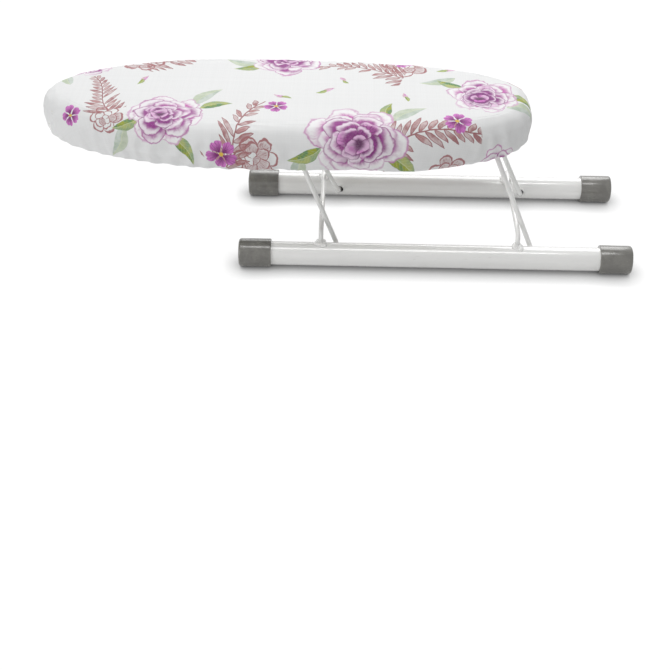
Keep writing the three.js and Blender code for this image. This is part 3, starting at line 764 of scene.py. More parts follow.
def makeCapVinyl(marks):
    look = capLook
    material, tree, surface = startMaterial("grey_cap", look["plain"])
    worn = showWear(tree, marks, look["wear"])
    colour = mixColour(tree, worn["Blotch"], look["dark"], look["light"])
    colour = mixColour(tree, times(tree, worn["Scuff"], look["scuffShare"]), colour, look["scuffed"])
    feed(tree, surface["Base Color"], colour)
    feed(tree, surface["Roughness"], slope(tree, worn["Grain"], *look["roughness"]))
    lump = speckle(tree, objectPoint(tree), *look["lump"])
    addBump(tree, surface, slope(tree, worn["Grain"], look["grainHeight"], lump), *look["bump"])
    return material


zincLook = {
    "plain": {"Metallic": 1.0}, "wear": (320.0, 2400.0),
    "dark": (0.52, 0.53, 0.54, 1), "light": (0.66, 0.67, 0.68, 1), "roughness": (0.3, 0.22),
    "bump": (0.15, 0.0002),
}


def makeZinc(marks):
    look = zincLook
    material, tree, surface = startMaterial("zinc_steel", look["plain"])
    worn = showWear(tree, marks, look["wear"])
    feed(tree, surface["Base Color"], mixColour(tree, worn["Blotch"], look["dark"], look["light"]))
    feed(tree, surface["Roughness"], slope(tree, worn["Grain"], *look["roughness"]))
    addBump(tree, surface, worn["Grain"], *look["bump"])
    return material


foamLook = {
    "plain": {"Roughness": 0.95}, "cells": 900.0, "poreDepthAndShade": (0.15, 0.55), "cloud": (60.0, 3.0),
    "dark": (0.52, 0.46, 0.33, 1), "light": (0.80, 0.75, 0.61, 1), "aged": (0.72, 0.66, 0.50, 1),
    "agedShare": 0.4, "bump": (0.6, 0.0006),
}


def makeFoam():
    look = foamLook
    material, tree, surface = startMaterial("pad_foam", look["plain"])
    cells = tree.nodes.new("ShaderNodeTexVoronoi")
    cells.inputs["Scale"].default_value = look["cells"]
    feed(tree, cells.inputs["Vector"], objectPoint(tree))
    # painted shade in the pores: the middle of each foam cell is coloured darker where the bump sinks
    poreDepthAndShade = ease(tree, cells.outputs["Distance"], *look["poreDepthAndShade"])
    cloud = speckle(tree, objectPoint(tree), *look["cloud"])
    colour = mixColour(tree, poreDepthAndShade, look["dark"], look["light"])
    colour = mixColour(tree, times(tree, cloud, look["agedShare"]), colour, look["aged"])
    feed(tree, surface["Base Color"], colour)
    addBump(tree, surface, poreDepthAndShade, *look["bump"])
    return material


cordLook = {
    "plain": {"Roughness": 0.8}, "threads": 1400.0, "tone": (0.2, 0.6),
    "dark": (0.55, 0.54, 0.51, 1), "light": (0.83, 0.82, 0.79, 1), "bump": (0.5, 0.0004),
}


def makeElastic(weave):
    look = cordLook
    material, tree, surface = startMaterial("elastic_cord", look["plain"])
    knit = useGroup(tree, weave, Point=objectPoint(tree), Threads=look["threads"])
    tone = slope(tree, knit["Tone"], *look["tone"])
    feed(tree, surface["Base Color"], mixColour(tree, tone, look["dark"], look["light"]))
    addBump(tree, surface, knit["Height"], *look["bump"])
    return material


# Shared ways of making a piece

shapeLook = {
    "smoothAngle": 35, "weld": 1e-6,
    "sortWeights": Vector((1.0, 3.137, 9.871)),         # uneven, so that mirrored places don't tie
    "noiseSeed": 7,                                     # without one, noise_vector starts from the clock
}


def smoothByAngle(mesh):
    mesh.shade_smooth()
    mesh.set_sharp_from_angle(angle=math.radians(shapeLook["smoothAngle"]))


def meshObject(name, bm):
    mesh = bpy.data.meshes.new(name)
    bm.to_mesh(mesh)
    bm.free()
    made = bpy.data.objects.new(name, mesh)
    scene.collection.objects.link(made)
    return made


def weldVerts(bm):
    bmesh.ops.remove_doubles(bm, verts=bm.verts, dist=shapeLook["weld"])


def sortElements(bm):
    # the bmesh operators may leave another order each run, and the cloth would settle differently
    weights = shapeLook["sortWeights"]
    bm.verts.sort(key=lambda vert: weights.dot(vert.co))
    bm.edges.sort(key=lambda edge: weights.dot(edge.verts[0].co + edge.verts[1].co))
    bm.faces.sort(key=lambda face: weights.dot(face.calc_center_median()))
    for elements in (bm.verts, bm.edges, bm.faces):
        elements.index_update()


def finishPiece(name, bm, material, body, replaced=()):
    weldVerts(bm)
    bmesh.ops.recalc_face_normals(bm, faces=bm.faces)
    sortElements(bm)
    piece = meshObject(name, bm)
    smoothByAngle(piece.data)
    piece.data.materials.append(material)
    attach(piece, body)
    if replaced:
        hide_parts(*replaced)
    return piece


def settle(piece):
    depsgraph = bpy.context.evaluated_depsgraph_get()
    mesh = bpy.data.meshes.new_from_object(piece.evaluated_get(depsgraph))
    piece.modifiers.clear()
    piece.data = mesh


def combine(piece, bm, operation):
    tool = meshObject("tool", bm)
    cut = piece.modifiers.new("combine", "BOOLEAN")
    cut.operation = operation
    cut.solver = "EXACT"
    cut.use_self = operation == "UNION"        # the weld lumps overlap one another
    cut.object = tool
    settle(piece)
    smoothByAngle(piece.data)
    bpy.data.objects.remove(tool)


def onlyEdges(geometry):
    return [item for item in geometry if isinstance(item, bmesh.types.BMEdge)]


def onlyVerts(geometry):
    return [item for item in geometry if isinstance(item, bmesh.types.BMVert)]


def wireLine(bm, points):
    verts = [bm.verts.new(point) for point in points]
    for first, second in zip(verts, verts[1:]):
        bm.edges.new((first, second))
    return verts


def roundCorner(bm, vert, radius, segments):
    bmesh.ops.bevel(bm, geom=[vert], offset=radius, offset_type="OFFSET", segments=segments, profile=0.5,
                    affect="VERTICES", material=-1)


def bevelSharp(bm, width, segments, degrees, clamp=True):
    limit = math.radians(degrees)
    edges = [e for e in bm.edges if len(e.link_faces) == 2 and e.calc_face_angle() > limit]
    bmesh.ops.bevel(bm, geom=edges, offset=width, offset_type="OFFSET", segments=segments, profile=0.5,
                    affect="EDGES", clamp_overlap=clamp, material=-1)


def spinOpen(bm, geometry, centre, axis, angle, steps):
    spun = bmesh.ops.spin(bm, geom=geometry, cent=centre, axis=axis, dvec=(0, 0, 0), angle=angle, steps=steps,
                          use_merge=False, use_normal_flip=False, use_duplicate=False)
    return spun["geom_last"]


def spinProfile(bm, axisPoint, axis, steps):
    bmesh.ops.spin(bm, geom=bm.verts[:] + bm.edges[:], cent=axisPoint, axis=axis, dvec=(0, 0, 0),
                   angle=math.tau, steps=steps, use_merge=True, use_normal_flip=False, use_duplicate=False)
    weldVerts(bm)


def nudge(bm, amount, scale, seed):
    noise.seed_set(shapeLook["noiseSeed"])
    for vert in bm.verts:
        vert.co += noise.noise_vector(vert.co * scale + Vector((seed, 2 * seed, 3 * seed))) * amount


# Bent wire: a circle drawn along straight runs and turned round each bend

wireLook = {"radius": 0.0025, "bend": 0.007, "sides": 20, "bendSteps": 9,
            "endRound": 0.0006, "endSteps": 3, "endAngle": 60}


def drawWire(bm, corners):
    run = (corners[1] - corners[0]).normalized()
    facing = Matrix.Translation(corners[0]) @ run.to_track_quat("Z", "Y").to_matrix().to_4x4()
    verts = bmesh.ops.create_circle(bm, cap_ends=True, segments=wireLook["sides"], radius=wireLook["radius"],
                                    matrix=facing)["verts"]
    loop = [edge for edge in bm.edges if edge.verts[0] in verts]
    here = corners[0]
    for index in range(1, len(corners)):
        corner = corners[index]
        run = (corner - corners[index - 1]).normalized()
        last = index == len(corners) - 1
        after = run if last else (corners[index + 1] - corner).normalized()
        turn = run.angle(after)
        setback = wireLook["bend"] * math.tan(turn / 2)
        grown = bmesh.ops.extrude_edge_only(bm, edges=loop)["geom"]
        fresh = set(onlyVerts(grown))
        bmesh.ops.translate(bm, verts=list(fresh), vec=corner - run * setback - here)
        loop = [edge for edge in onlyEdges(grown) if fresh.issuperset(edge.verts)]
        if not last:
            centre = corner + (after - run).normalized() * (wireLook["bend"] / math.cos(turn / 2))
            loop = onlyEdges(spinOpen(bm, loop, centre, run.cross(after), turn, wireLook["bendSteps"]))
            here = corner + after * setback
    bmesh.ops.contextual_create(bm, geom=loop)
    weldVerts(bm)
    bevelSharp(bm, wireLook["endRound"], wireLook["endSteps"], wireLook["endAngle"], clamp=False)


def mirroredWire(half):
    bm = bmesh.new()
    drawWire(bm, [Vector((point.x, -point.y, point.z)) for point in half] + half[::-1])
    return bm


legLook = {"footCorner": 0.0535, "topCorner": 0.027}


def buildLegs(enamel):
    lean = pivots["board_level"] - pivots["leg_fold"]
    for side, joint in (("left", "leg_fold"), ("right", "right_leg_fold")):
        pivot = pivots[joint]
        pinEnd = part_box(f"{side}_leg_wire")[1].y
        half = [pivot + Vector((0, reach, 0)) for reach in (pinEnd, legLook["footCorner"])]
        half.append(pivot + lean + Vector((0, legLook["topCorner"], 0)))
        wire = mirroredWire(half)
        finishPiece(f"{side}_bent_leg", wire, enamel, f"{side}_leg", [f"{side}_leg_wire"])


stopLook = {
    "postInset": 0.005, "sink": 0.0012,
    "beads": (                                 # along the tube, out over it, radius, flatness
        (0.0, 0.0, 0.0050, 0.62),
        (-0.0018, 0.0040, 0.0043, 0.50),
        (0.0024, 0.0070, 0.0034, 0.52),
    ),
    "beadSteps": 4, "beadStretch": 1.1, "lump": 0.0008, "lumpScale": 320.0, "lumpSeed": 4.0,
}


def tubeTop(across):
    return pivots["leg_fold"].z + math.sqrt((tubeLook["diameter"] / 2) ** 2 - across ** 2)


def buildStopBars(enamel):
    steps = stopLook["beadSteps"]
    tubeLow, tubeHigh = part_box("rear_foot_tube")
    postY = (tubeLow.y + tubeHigh.y) / 2 - stopLook["postInset"]
    for side in ("left", "right"):
        low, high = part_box(f"{side}_stop_bar")
        x = (low.x + high.x) / 2
        half = [Vector((x, postY, tubeTop(stopLook["postInset"]) - stopLook["sink"])),
                Vector((x, postY, high.z - wireLook["radius"]))]
        wire = mirroredWire(half)
        bar = finishPiece(f"{side}_welded_stop", wire, enamel, "base", [f"{side}_stop_bar"])
        beads = bmesh.new()
        for end in (-1, 1):
            for along, out, size, flatness in stopLook["beads"]:
                blob = bmesh.ops.create_icosphere(beads, subdivisions=steps, radius=size)["verts"]
                bmesh.ops.scale(beads, vec=(stopLook["beadStretch"], 1.0, flatness), verts=blob)
                seat = Vector((x + along, end * (postY + out), tubeTop(stopLook["postInset"] - out)))
                bmesh.ops.translate(beads, vec=seat, verts=blob)
        nudge(beads, stopLook["lump"], stopLook["lumpScale"], stopLook["lumpSeed"])
        combine(bar, beads, "UNION")


# Foot tubes and their push-on caps

tubeLook = {"diameter": 0.024, "wall": 0.0012, "sides": 72, "cuts": 90, "holePlay": 0.0012, "holeSides": 32,
            "holeShift": {"leg_fold": 0.0009, "right_leg_fold": 0.0}}


def buildTubes(enamel):
    radius = tubeLook["diameter"] / 2
    inner = radius - tubeLook["wall"]
    hole = wireLook["radius"] + tubeLook["holePlay"]
    axisZ = pivots["leg_fold"].z
    for place, inwards in (("front", 1), ("rear", -1)):
        low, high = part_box(f"{place}_foot_tube")
        y = (low.y + high.y) / 2
        bm = bmesh.new()
        loop = wireLine(bm, [(low.x, y, axisZ + radius), (high.x, y, axisZ + radius),
                             (high.x, y, axisZ + inner), (low.x, y, axisZ + inner)])
        bm.edges.new((loop[3], loop[0]))
        long = [edge for edge in bm.edges if edge.calc_length() > radius]
        bmesh.ops.subdivide_edges(bm, edges=long, cuts=tubeLook["cuts"])
        spinProfile(bm, (0, y, axisZ), (1, 0, 0), tubeLook["sides"])
        tube = finishPiece(f"{place}_painted_tube", bm, enamel, "base", [f"{place}_foot_tube"])
        drills = bmesh.new()
        for joint, shift in tubeLook["holeShift"].items():
            middle = Matrix.Translation((pivots[joint].x + shift, y + inwards * radius, axisZ))
            turned = middle @ Matrix.Rotation(math.pi / 2, 4, "X")
            bmesh.ops.create_cone(drills, cap_ends=True, segments=tubeLook["holeSides"], radius1=hole,
                                  radius2=hole, depth=radius, matrix=turned)
        combine(tube, drills, "DIFFERENCE")


capShape = {"edge": 0.0026, "edgeSteps": 6, "lip": 0.0006, "lipSteps": 3, "wall": 0.0025, "fit": 0.0001,
            "end": 0.003, "sides": 72, "longEdge": 0.01, "cuts": 14,
            "unevenness": 0.00022, "unevenScale": 130.0, "firstSeed": 5.0}


def buildCaps(vinyl):
    radius = tubeLook["diameter"] / 2 + capShape["wall"]
    bore = tubeLook["diameter"] / 2 + capShape["fit"]
    thick = capShape["end"]
    axisZ = pivots["leg_fold"].z
    for number, (place, end) in enumerate((p, e) for p in ("front", "rear") for e in ("left", "right")):
        low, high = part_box(f"cap_{place}_{end}")
        y = (low.y + high.y) / 2
        outer, step = (low.x, 1) if end == "left" else (high.x, -1)
        length = high.x - low.x
        profile = [(0, 0), (0, radius), (length, radius), (length, bore), (thick, bore), (thick, 0)]
        bm = bmesh.new()
        verts = wireLine(bm, [(outer + step * along, y, axisZ + out) for along, out in profile])
        wall = [edge for edge in bm.edges if edge.calc_length() > capShape["longEdge"]]
        roundCorner(bm, verts[1], capShape["edge"], capShape["edgeSteps"])
        roundCorner(bm, verts[2], capShape["lip"], capShape["lipSteps"])
        bmesh.ops.subdivide_edges(bm, edges=[e for e in wall if e.is_valid], cuts=capShape["cuts"])
        spinProfile(bm, (0, y, axisZ), (1, 0, 0), capShape["sides"])
        nudge(bm, capShape["unevenness"], capShape["unevenScale"], capShape["firstSeed"] + number)
        for vert in bm.verts:
            vert.co.z = max(vert.co.z, 0.0)      # the flat it stands on
        finishPiece(f"cap_{place}_{end}_vinyl", bm, vinyl, "base", [f"cap_{place}_{end}"])


# The board's plan: a long full heel and an elliptic nose that share their widest station

boardShape = {"noseLength": 0.204, "noseFullness": 2.0, "heelFullness": 2.7, "stations": 480, "fineSteps": 40,
              "fillCorner": 8}           # one in so many stations for each short side of the top's grid
coverLow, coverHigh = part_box("cover")
widest = coverLow.x + boardShape["noseLength"]
hemBottom = coverLow.z
heelReach = coverHigh.x - widest
halfWidth = coverHigh.y


def planPoint(angle, inset):
    along, across = math.cos(angle), math.sin(angle)
    reach = heelReach if along > 0 else boardShape["noseLength"]
    fullness = boardShape["heelFullness"] if along > 0 else boardShape["noseFullness"]
    power, steep = 2 / fullness, 2 * (fullness - 1) / fullness
    point = Vector((math.copysign(reach * abs(along) ** power, along),
                    math.copysign(halfWidth * abs(across) ** power, across)))
    normal = Vector((math.copysign(abs(along) ** steep / reach, along),
                     math.copysign(abs(across) ** steep / halfWidth, across))).normalized()
    point -= normal * inset
    return Vector((widest + point.x, point.y))


def evenStations(count):
    fine = boardShape["fineSteps"] * count
    angles = [math.tau * step / fine for step in range(fine + 1)]
    walked = [0.0]
    for first, second in zip(angles, angles[1:]):
        walked.append(walked[-1] + (planPoint(second, 0) - planPoint(first, 0)).length)
    even, step = [], 0
    for number in range(count):
        while walked[step + 1] < walked[-1] * number / count:
            step += 1
        even.append(angles[step])
    return even


def around(items):
    return zip(items, items[1:] + items[:1])


def loopLength(inset):
    return sum((planPoint(b, inset) - planPoint(a, inset)).length for a, b in around(stations))


stations = evenStations(boardShape["stations"])
outlineLength = loopLength(0)


def arcPoints(centre, radius, start, end, steps):
    turns = [math.radians(start + (end - start) * step / steps) for step in range(steps + 1)]
    return [(centre[0] - radius * math.cos(turn), centre[1] + radius * math.sin(turn)) for turn in turns]


def ringShell(bm, section, closed=False):
    order = bm.verts.layers.int.new("order")
    level = bm.verts.layers.int.new("level")
    verts = bmesh.ops.create_circle(bm, cap_ends=False, segments=len(stations), radius=1.0)["verts"]
    for number, vert in enumerate(verts):
        vert[order] = number
    edges = firstEdges = list(bm.edges)
    rings = []
    for number, (inset, height) in enumerate(section):
        if number:
            grown = bmesh.ops.extrude_edge_only(bm, edges=edges)["geom"]
            verts = onlyVerts(grown)
            fresh = set(verts)
            edges = [edge for edge in onlyEdges(grown) if fresh.issuperset(edge.verts)]
        for vert in verts:
            place = planPoint(stations[vert[order]], inset)
            vert.co = (place.x, place.y, hemBottom + height)
            vert[level] = number
        rings.append(sorted(verts, key=lambda vert: vert[order]))
    if closed:
        bmesh.ops.bridge_loops(bm, edges=firstEdges + edges)
    return rings


def fillTop(bm, ring):
    count = len(ring)
    short = count // boardShape["fillCorner"]
    sides = []
    for start in (short // 2, short // 2 + count // 2):
        run = [ring[(start + step) % count] for step in range(count // 2 - short + 1)]
        sides += [bm.edges.get(pair) for pair in zip(run, run[1:])]
    before = set(bm.verts)
    bmesh.ops.grid_fill(bm, edges=sides, mat_nr=0, use_smooth=True, use_interp_simple=False)
    middle = (coverLow.x + coverHigh.x) / 2
    span = (coverHigh.x - coverLow.x) / 2
    for vert in bm.verts:
        if vert not in before:
            fall = (1 - (vert.co.y / halfWidth) ** 2) * (1 - ((vert.co.x - middle) / span) ** 4)
            vert.co.z += coverLook["crown"] * max(fall, 0.0)


# Fitted cover: its section runs from the top's edge round the hem to the casing's lip

coverLook = {
    "crown": 0.0012,
    "edgeRadius": 0.015, "edgeInset": 0.016, "edgeRise": 0.0408, "edgeSteps": 7,
    "sideSteps": 5, "sideSwell": 0.00125,
    "hemRadius": 0.005, "hemInset": 0.0065, "hemSteps": 4,
    "casingRadius": 0.00295, "casingInset": 0.01515, "casingSteps": 5, "lip": 0.0115,
    "noseEnd": 0.15, "heelEnd": 0.09,           # how far the two ends reach along the board
    "room": 0.0010,                             # how far it can sink towards the pad and rim
}


def coverSection():
    look = coverLook
    edge = arcPoints((look["edgeInset"], look["edgeRise"] - look["edgeRadius"]), look["edgeRadius"], 90, 0,
                     look["edgeSteps"])
    hem = arcPoints((look["hemInset"], look["hemRadius"]), look["hemRadius"], 0, -90, look["hemSteps"])
    top, low = edge[-1], hem[0]
    side = []
    for step in range(1, look["sideSteps"]):
        share = step / look["sideSteps"]
        swell = 4 * share * (1 - share) * look["sideSwell"]
        side.append((top[0] + (low[0] - top[0]) * share - swell, top[1] + (low[1] - top[1]) * share))
    casing = arcPoints((look["casingInset"], look["casingRadius"]), -look["casingRadius"], 90, -90,
                       look["casingSteps"])
    under = [((hem[-1][0] + casing[0][0]) / 2, 0.0)]
    return edge + side + hem + under + casing + [(look["lip"], 2 * look["casingRadius"])]


def buildCover(cotton):
    section = coverSection()
    reach = [0.0]
    for first, second in zip(section, section[1:]):
        reach.append(reach[-1] + math.dist(first, second))
    bm = bmesh.new()
    flat = bm.verts.layers.float_vector.new("cut")
    flatMap = bm.loops.layers.uv.new("flat")
    rings = ringShell(bm, section)
    fillTop(bm, rings[0])
    order, level = bm.verts.layers.int["order"], bm.verts.layers.int["level"]
    onRing = {vert for ring in rings for vert in ring}
    for vert in bm.verts:
        if vert in onRing:
            vert[flat] = planPoint(stations[vert[order]], coverLook["edgeInset"] - reach[vert[level]]).to_3d()
        else:
            vert[flat] = Vector((vert.co.x, vert.co.y, 0.0))
    for face in bm.faces:
        for loop in face.loops:
            loop[flatMap].uv = loop.vert[flat].xy
    outline = [planPoint(angle, coverLook["edgeInset"] - reach[-1]) for angle in stations]
    flatArea = 0.5 * abs(sum(a.x * b.y - b.x * a.y for a, b in around(outline)))
    flatSize = [max(p[i] for p in outline) - min(p[i] for p in outline) for i in (1, 0)]
    cover = finishPiece("fitted_cover", bm, cotton, "board", ["cover"])
    return cover, flatSize, flatArea


def endness(x):
    nose, heel = coverLook["noseEnd"], coverLook["heelEnd"]
    return min(1.0, max((coverLow.x + nose - x) / nose, (x - coverHigh.x + heel) / heel, 0.0))


def hemRings(levels):
    lip = max(levels)
    casing = lip - 1 - coverLook["casingSteps"]
    return SimpleNamespace(start=casing - 3, under=casing - 1, casing=casing)


def ringVerts(mesh, levels):
    outward = [vert.normal.copy() for vert in mesh.vertices]     # read first: moving a vertex spoils them
    walked = [outlineLength * item.value / len(stations) for item in mesh.attributes["order"].data]
    return list(zip(mesh.vertices, outward, levels, walked))


def uneven(walk, pitch, height):
    # sampled on a circle, so that there is no step where the outline closes
    turn, reach = math.tau * walk / outlineLength, outlineLength / (math.tau * pitch)
    return noise.noise(Vector((reach * math.cos(turn), reach * math.sin(turn), height)))


def evenWave(walk, length, drift):
    return math.sin(math.tau * round(outlineLength / length) * walk / outlineLength + drift)


puckerLook = {
    "pleat": 0.0019, "length": 0.0145,
    "drift": 2.4, "driftNoise": (0.045, 4.0),   # a noise is its pitch along the outline and its height
    "least": 0.7, "vary": 0.6, "varyNoise": (0.029, 9.0),
    "startRing": 1.2, "fullRings": 2.5,
    "low": -0.6, "lowAtFlange": -0.25,          # the rim's flange is just above the hem
}


def puckerHem(mesh, levels, hem):
    look = puckerLook
    for vert, outward, number, walk in ringVerts(mesh, levels):
        if number <= hem.start:
            continue
        wave = evenWave(walk, look["length"], look["drift"] * uneven(walk, *look["driftNoise"]))
        wave *= look["least"] + look["vary"] * uneven(walk, *look["varyNoise"])
        share = min(1.0, max(0.0, number - hem.start - look["startRing"]) / look["fullRings"])
        low = look["lowAtFlange"] if number <= hem.casing else look["low"]
        vert.co += outward * (look["pleat"] * share * max(low, wave))


drapeLook = {
    "firstRing": 2, "swellBias": 0.8,
    "ripple": 0.0017, "slant": 0.0015,          # a noise is its pitch, its height and its rise for each ring
    "broad": (0.030, 2.0, 0.07), "fine": (0.030 / 2.7, 6.0, 0.10), "fineShare": 0.65,
    "fold": 0.0020, "foldLength": 0.0165, "foldLow": -0.6, "foldDrift": 5.0, "driftNoise": (0.05, 11.0, 0.10),
    "patchLeast": 0.42, "patchVary": 1.5, "patchNoise": (0.07, 15.0, 0.05),
    "cling": 0.0015,
    "droop": 0.0040, "droopPlace": 0.078, "droopSpan": 0.050, "droopUnder": 0.5,
}


def ringNoise(walk, number, pitch, height, rise):
    return uneven(walk, pitch, height + rise * number)


def drapeSides(mesh, levels, hem):
    look = drapeLook
    for vert, outward, number, walk in ringVerts(mesh, levels):
        if number < look["firstRing"]:
            continue
        slant = look["slant"] * (number - hem.start)
        ripples = ringNoise(walk + slant, number, *look["broad"])
        ripples += look["fineShare"] * ringNoise(walk - slant, number, *look["fine"])
        swell = math.sin(math.pi * min(1.0, number / hem.under) ** look["swellBias"])
        low = min(1.0, number / hem.start) ** 2
        lift = look["ripple"] * swell * ripples
        if number <= hem.casing:
            # soft upright folds that the elastic draws up from the hem
            drift = look["foldDrift"] * ringNoise(walk, number, *look["driftNoise"])
            fold = max(look["foldLow"], evenWave(walk, look["foldLength"], drift))
            patch = ringNoise(walk, number, *look["patchNoise"])
            patchy = max(0.0, look["patchLeast"] + look["patchVary"] * patch)
            lift += look["fold"] * swell * low ** 0.5 * patchy * fold
        vert.co += outward * lift
        if number <= hem.casing + 1:
            vert.co -= outward * (look["cling"] * low * endness(vert.co.x))
            if vert.co.y < 0:
                away = (vert.co.x - look["droopPlace"]) / look["droopSpan"]
                fade = 1.0 if number <= hem.under else look["droopUnder"]
                vert.co.z -= look["droop"] * low * fade * math.exp(-away * away)


def keepOut(rings, start, hem):
    for (vert, outward, number, _), before in zip(rings, start):
        sunk = (before - vert.co).dot(outward) - coverLook["room"]
        if number <= hem.under and sunk > 0:
            vert.co += outward * sunk


def gatherCover(cover, simulate):
    mesh = cover.data
    levels = [item.value for item in mesh.attributes["level"].data]
    hem = hemRings(levels)
    rings = ringVerts(mesh, levels)
    start = [vert.co.copy() for vert in mesh.vertices]
    puckerHem(mesh, levels, hem)
    if simulate:
        settleCloth(cover, levels, hem)
    drapeSides(mesh, levels, hem)
    keepOut(rings, start, hem)
    mesh.update()


clothLook = {
    "frames": 16, "mostMove": 0.0035, "gravity": 0.1, "distance": 0.0003,
    "looseAbove": 3, "looseRings": 5, "looseSides": 0.6,        # where the gathers start and how they grow
    "settings": {
        "quality": 5, "mass": 0.15, "tension_stiffness": 20, "compression_stiffness": 20,
        "shear_stiffness": 6, "bending_stiffness": 0.15, "vertex_group_mass": "casing",
        "vertex_group_shrink": "gather", "shrink_min": 0.0, "shrink_max": -0.22,
    },
}


def settleCloth(cover, levels, hem):
    look = clothLook
    mesh = cover.data
    held = cover.vertex_groups.new(name="casing")
    loose = cover.vertex_groups.new(name="gather")
    for vert, number in zip(mesh.vertices, levels):
        if number > hem.casing:
            held.add([vert.index], 1.0, "REPLACE")
        slack = min(1.0, max(0.0, number - hem.start + look["looseAbove"]) / look["looseRings"])
        ends = look["looseSides"] + (1 - look["looseSides"]) * endness(vert.co.x)
        loose.add([vert.index], slack * ends, "REPLACE")
    start = [vert.co.copy() for vert in mesh.vertices]
    cloth = cover.modifiers.new("gathers", "CLOTH")
    for setting, value in look["settings"].items():
        setattr(cloth.settings, setting, value)
    cloth.settings.effector_weights.gravity = look["gravity"]
    cloth.collision_settings.use_collision = True
    cloth.collision_settings.distance_min = look["distance"]
    cloth.point_cache.frame_start = 1
    cloth.point_cache.frame_end = look["frames"]
    former = makeFormer()
    for step in range(1, look["frames"] + 1):
        scene.frame_set(step)
    shape = cover.evaluated_get(bpy.context.evaluated_depsgraph_get()).data
    moved = [vert.co.copy() for vert in shape.vertices]
    cover.modifiers.remove(cloth)
    scene.frame_set(1)
    bpy.data.objects.remove(former)
    for vert, old, new in zip(mesh.vertices, start, moved):
        shift = new - old
        if shift.length > look["mostMove"]:
            shift *= look["mostMove"] / shift.length
        vert.co = old + shift
    mesh.update()


# A stiff body inside the cover, the rim and pad in outline, that the cloth can't pass while it settles

formerLook = {"hem": 0.0011, "hemInset": 0.0115, "side": 0.0025, "bend": 0.0045, "bendSteps": 4,
              "arcHeight": 0.0256, "arcRadius": 0.0141, "arcInset": 0.0166, "arcSteps": 5,
              "thickness": 0.0002}


def makeFormer():
    look = formerLook
    side, bend = look["side"], look["bend"]
    section = [(look["hemInset"], look["hem"])]
    section += arcPoints((side + bend, look["hem"] + bend), bend, -90, 0, look["bendSteps"])
    section += arcPoints((look["arcInset"], look["arcHeight"]), look["arcRadius"], 0, 90, look["arcSteps"])
    bm = bmesh.new()
    rings = ringShell(bm, section)
    fillTop(bm, rings[-1])
    bmesh.ops.contextual_create(bm, geom=rings[0])
    bmesh.ops.recalc_face_normals(bm, faces=bm.faces)
    former = meshObject("former", bm)
    former.modifiers.new("stop", "COLLISION")
    former.collision.thickness_outer = look["thickness"]
    return former


def finishCover(cover):
    smoother = cover.modifiers.new("soften", "SUBSURF")
    smoother.levels = smoother.render_levels = 1
    settle(cover)
    cover.data.shade_smooth()


# Foam, rim and elastic inside the cover

padLook = {"bottom": 0.0290, "inset": 0.0165, "radius": 0.0138, "arcHeight": 0.0256, "arcSteps": 6,
           "flange": 0.012, "unevenness": 0.0002, "unevenScale": 60.0, "unevenSeed": 2.0, "fill": 0.75}


def buildPad(foam):
    look = padLook
    low = math.degrees(math.asin((look["bottom"] - look["arcHeight"]) / look["radius"]))
    section = [(look["inset"] + look["flange"], look["bottom"])]
    section += arcPoints((look["inset"], look["arcHeight"]), look["radius"], low, 90, look["arcSteps"])
    bm = bmesh.new()
    rings = ringShell(bm, section)
    fillTop(bm, rings[-1])
    bmesh.ops.contextual_create(bm, geom=rings[0])
    nudge(bm, look["unevenness"], look["unevenScale"], look["unevenSeed"])
    pad = finishPiece("foam_padding", bm, foam, "board", ["foam_pad"])


rimLook = {"inset": 0.00285, "sheet": 0.0012, "bottom": 0.00135, "top": 0.02735, "topFlange": 0.009,
           "hemFlange": 0.0085, "bendInset": 0.0065, "bendRise": 0.005, "bendSteps": 5,
           "edgeRound": 0.0003, "roundSteps": 2, "sharp": 40}


def buildRim(enamel):
    look = rimLook
    inset, sheet, steps = look["inset"], look["sheet"], look["bendSteps"]
    bend = (look["bendInset"], look["bendRise"])
    outer = look["bendInset"] - inset
    flange, hemEdge, top = inset + look["topFlange"], inset + look["hemFlange"], look["top"]
    section = [(hemEdge, look["bottom"])] + arcPoints(bend, outer, -90, 0, steps)
    section += [(inset, top), (flange, top), (flange, top - sheet), (inset + sheet, top - sheet)]
    section += arcPoints(bend, outer - sheet, 0, -90, steps) + [(hemEdge, look["bottom"] + sheet)]
    bm = bmesh.new()
    ringShell(bm, section, closed=True)
    bmesh.ops.recalc_face_normals(bm, faces=bm.faces)
    bevelSharp(bm, look["edgeRound"], look["roundSteps"], look["sharp"])
    finishPiece("steel_rim", bm, enamel, "board", ["rim_band"])


elasticLook = {"inset": 0.01515, "rise": 0.00295, "radius": 0.0016, "sides": 8}


def buildElastic(elastic):
    look = elasticLook
    section = arcPoints((look["inset"], look["rise"]), look["radius"], 0, 360, look["sides"])[:-1]
    bm = bmesh.new()
    ringShell(bm, section, closed=True)
    finishPiece("elastic_in_hem", bm, elastic, "board", ["hem_elastic"])


# Sewn line that closes the casing, a row of short stitches pressed into the hem

stitchLook = {"pitch": 0.0034, "length": 0.0024, "thread": 0.00032, "inset": 0.0116, "sink": 0.00008,
              "aheadTurn": 0.004, "castFrom": 0.02, "around": 6, "along": 5}


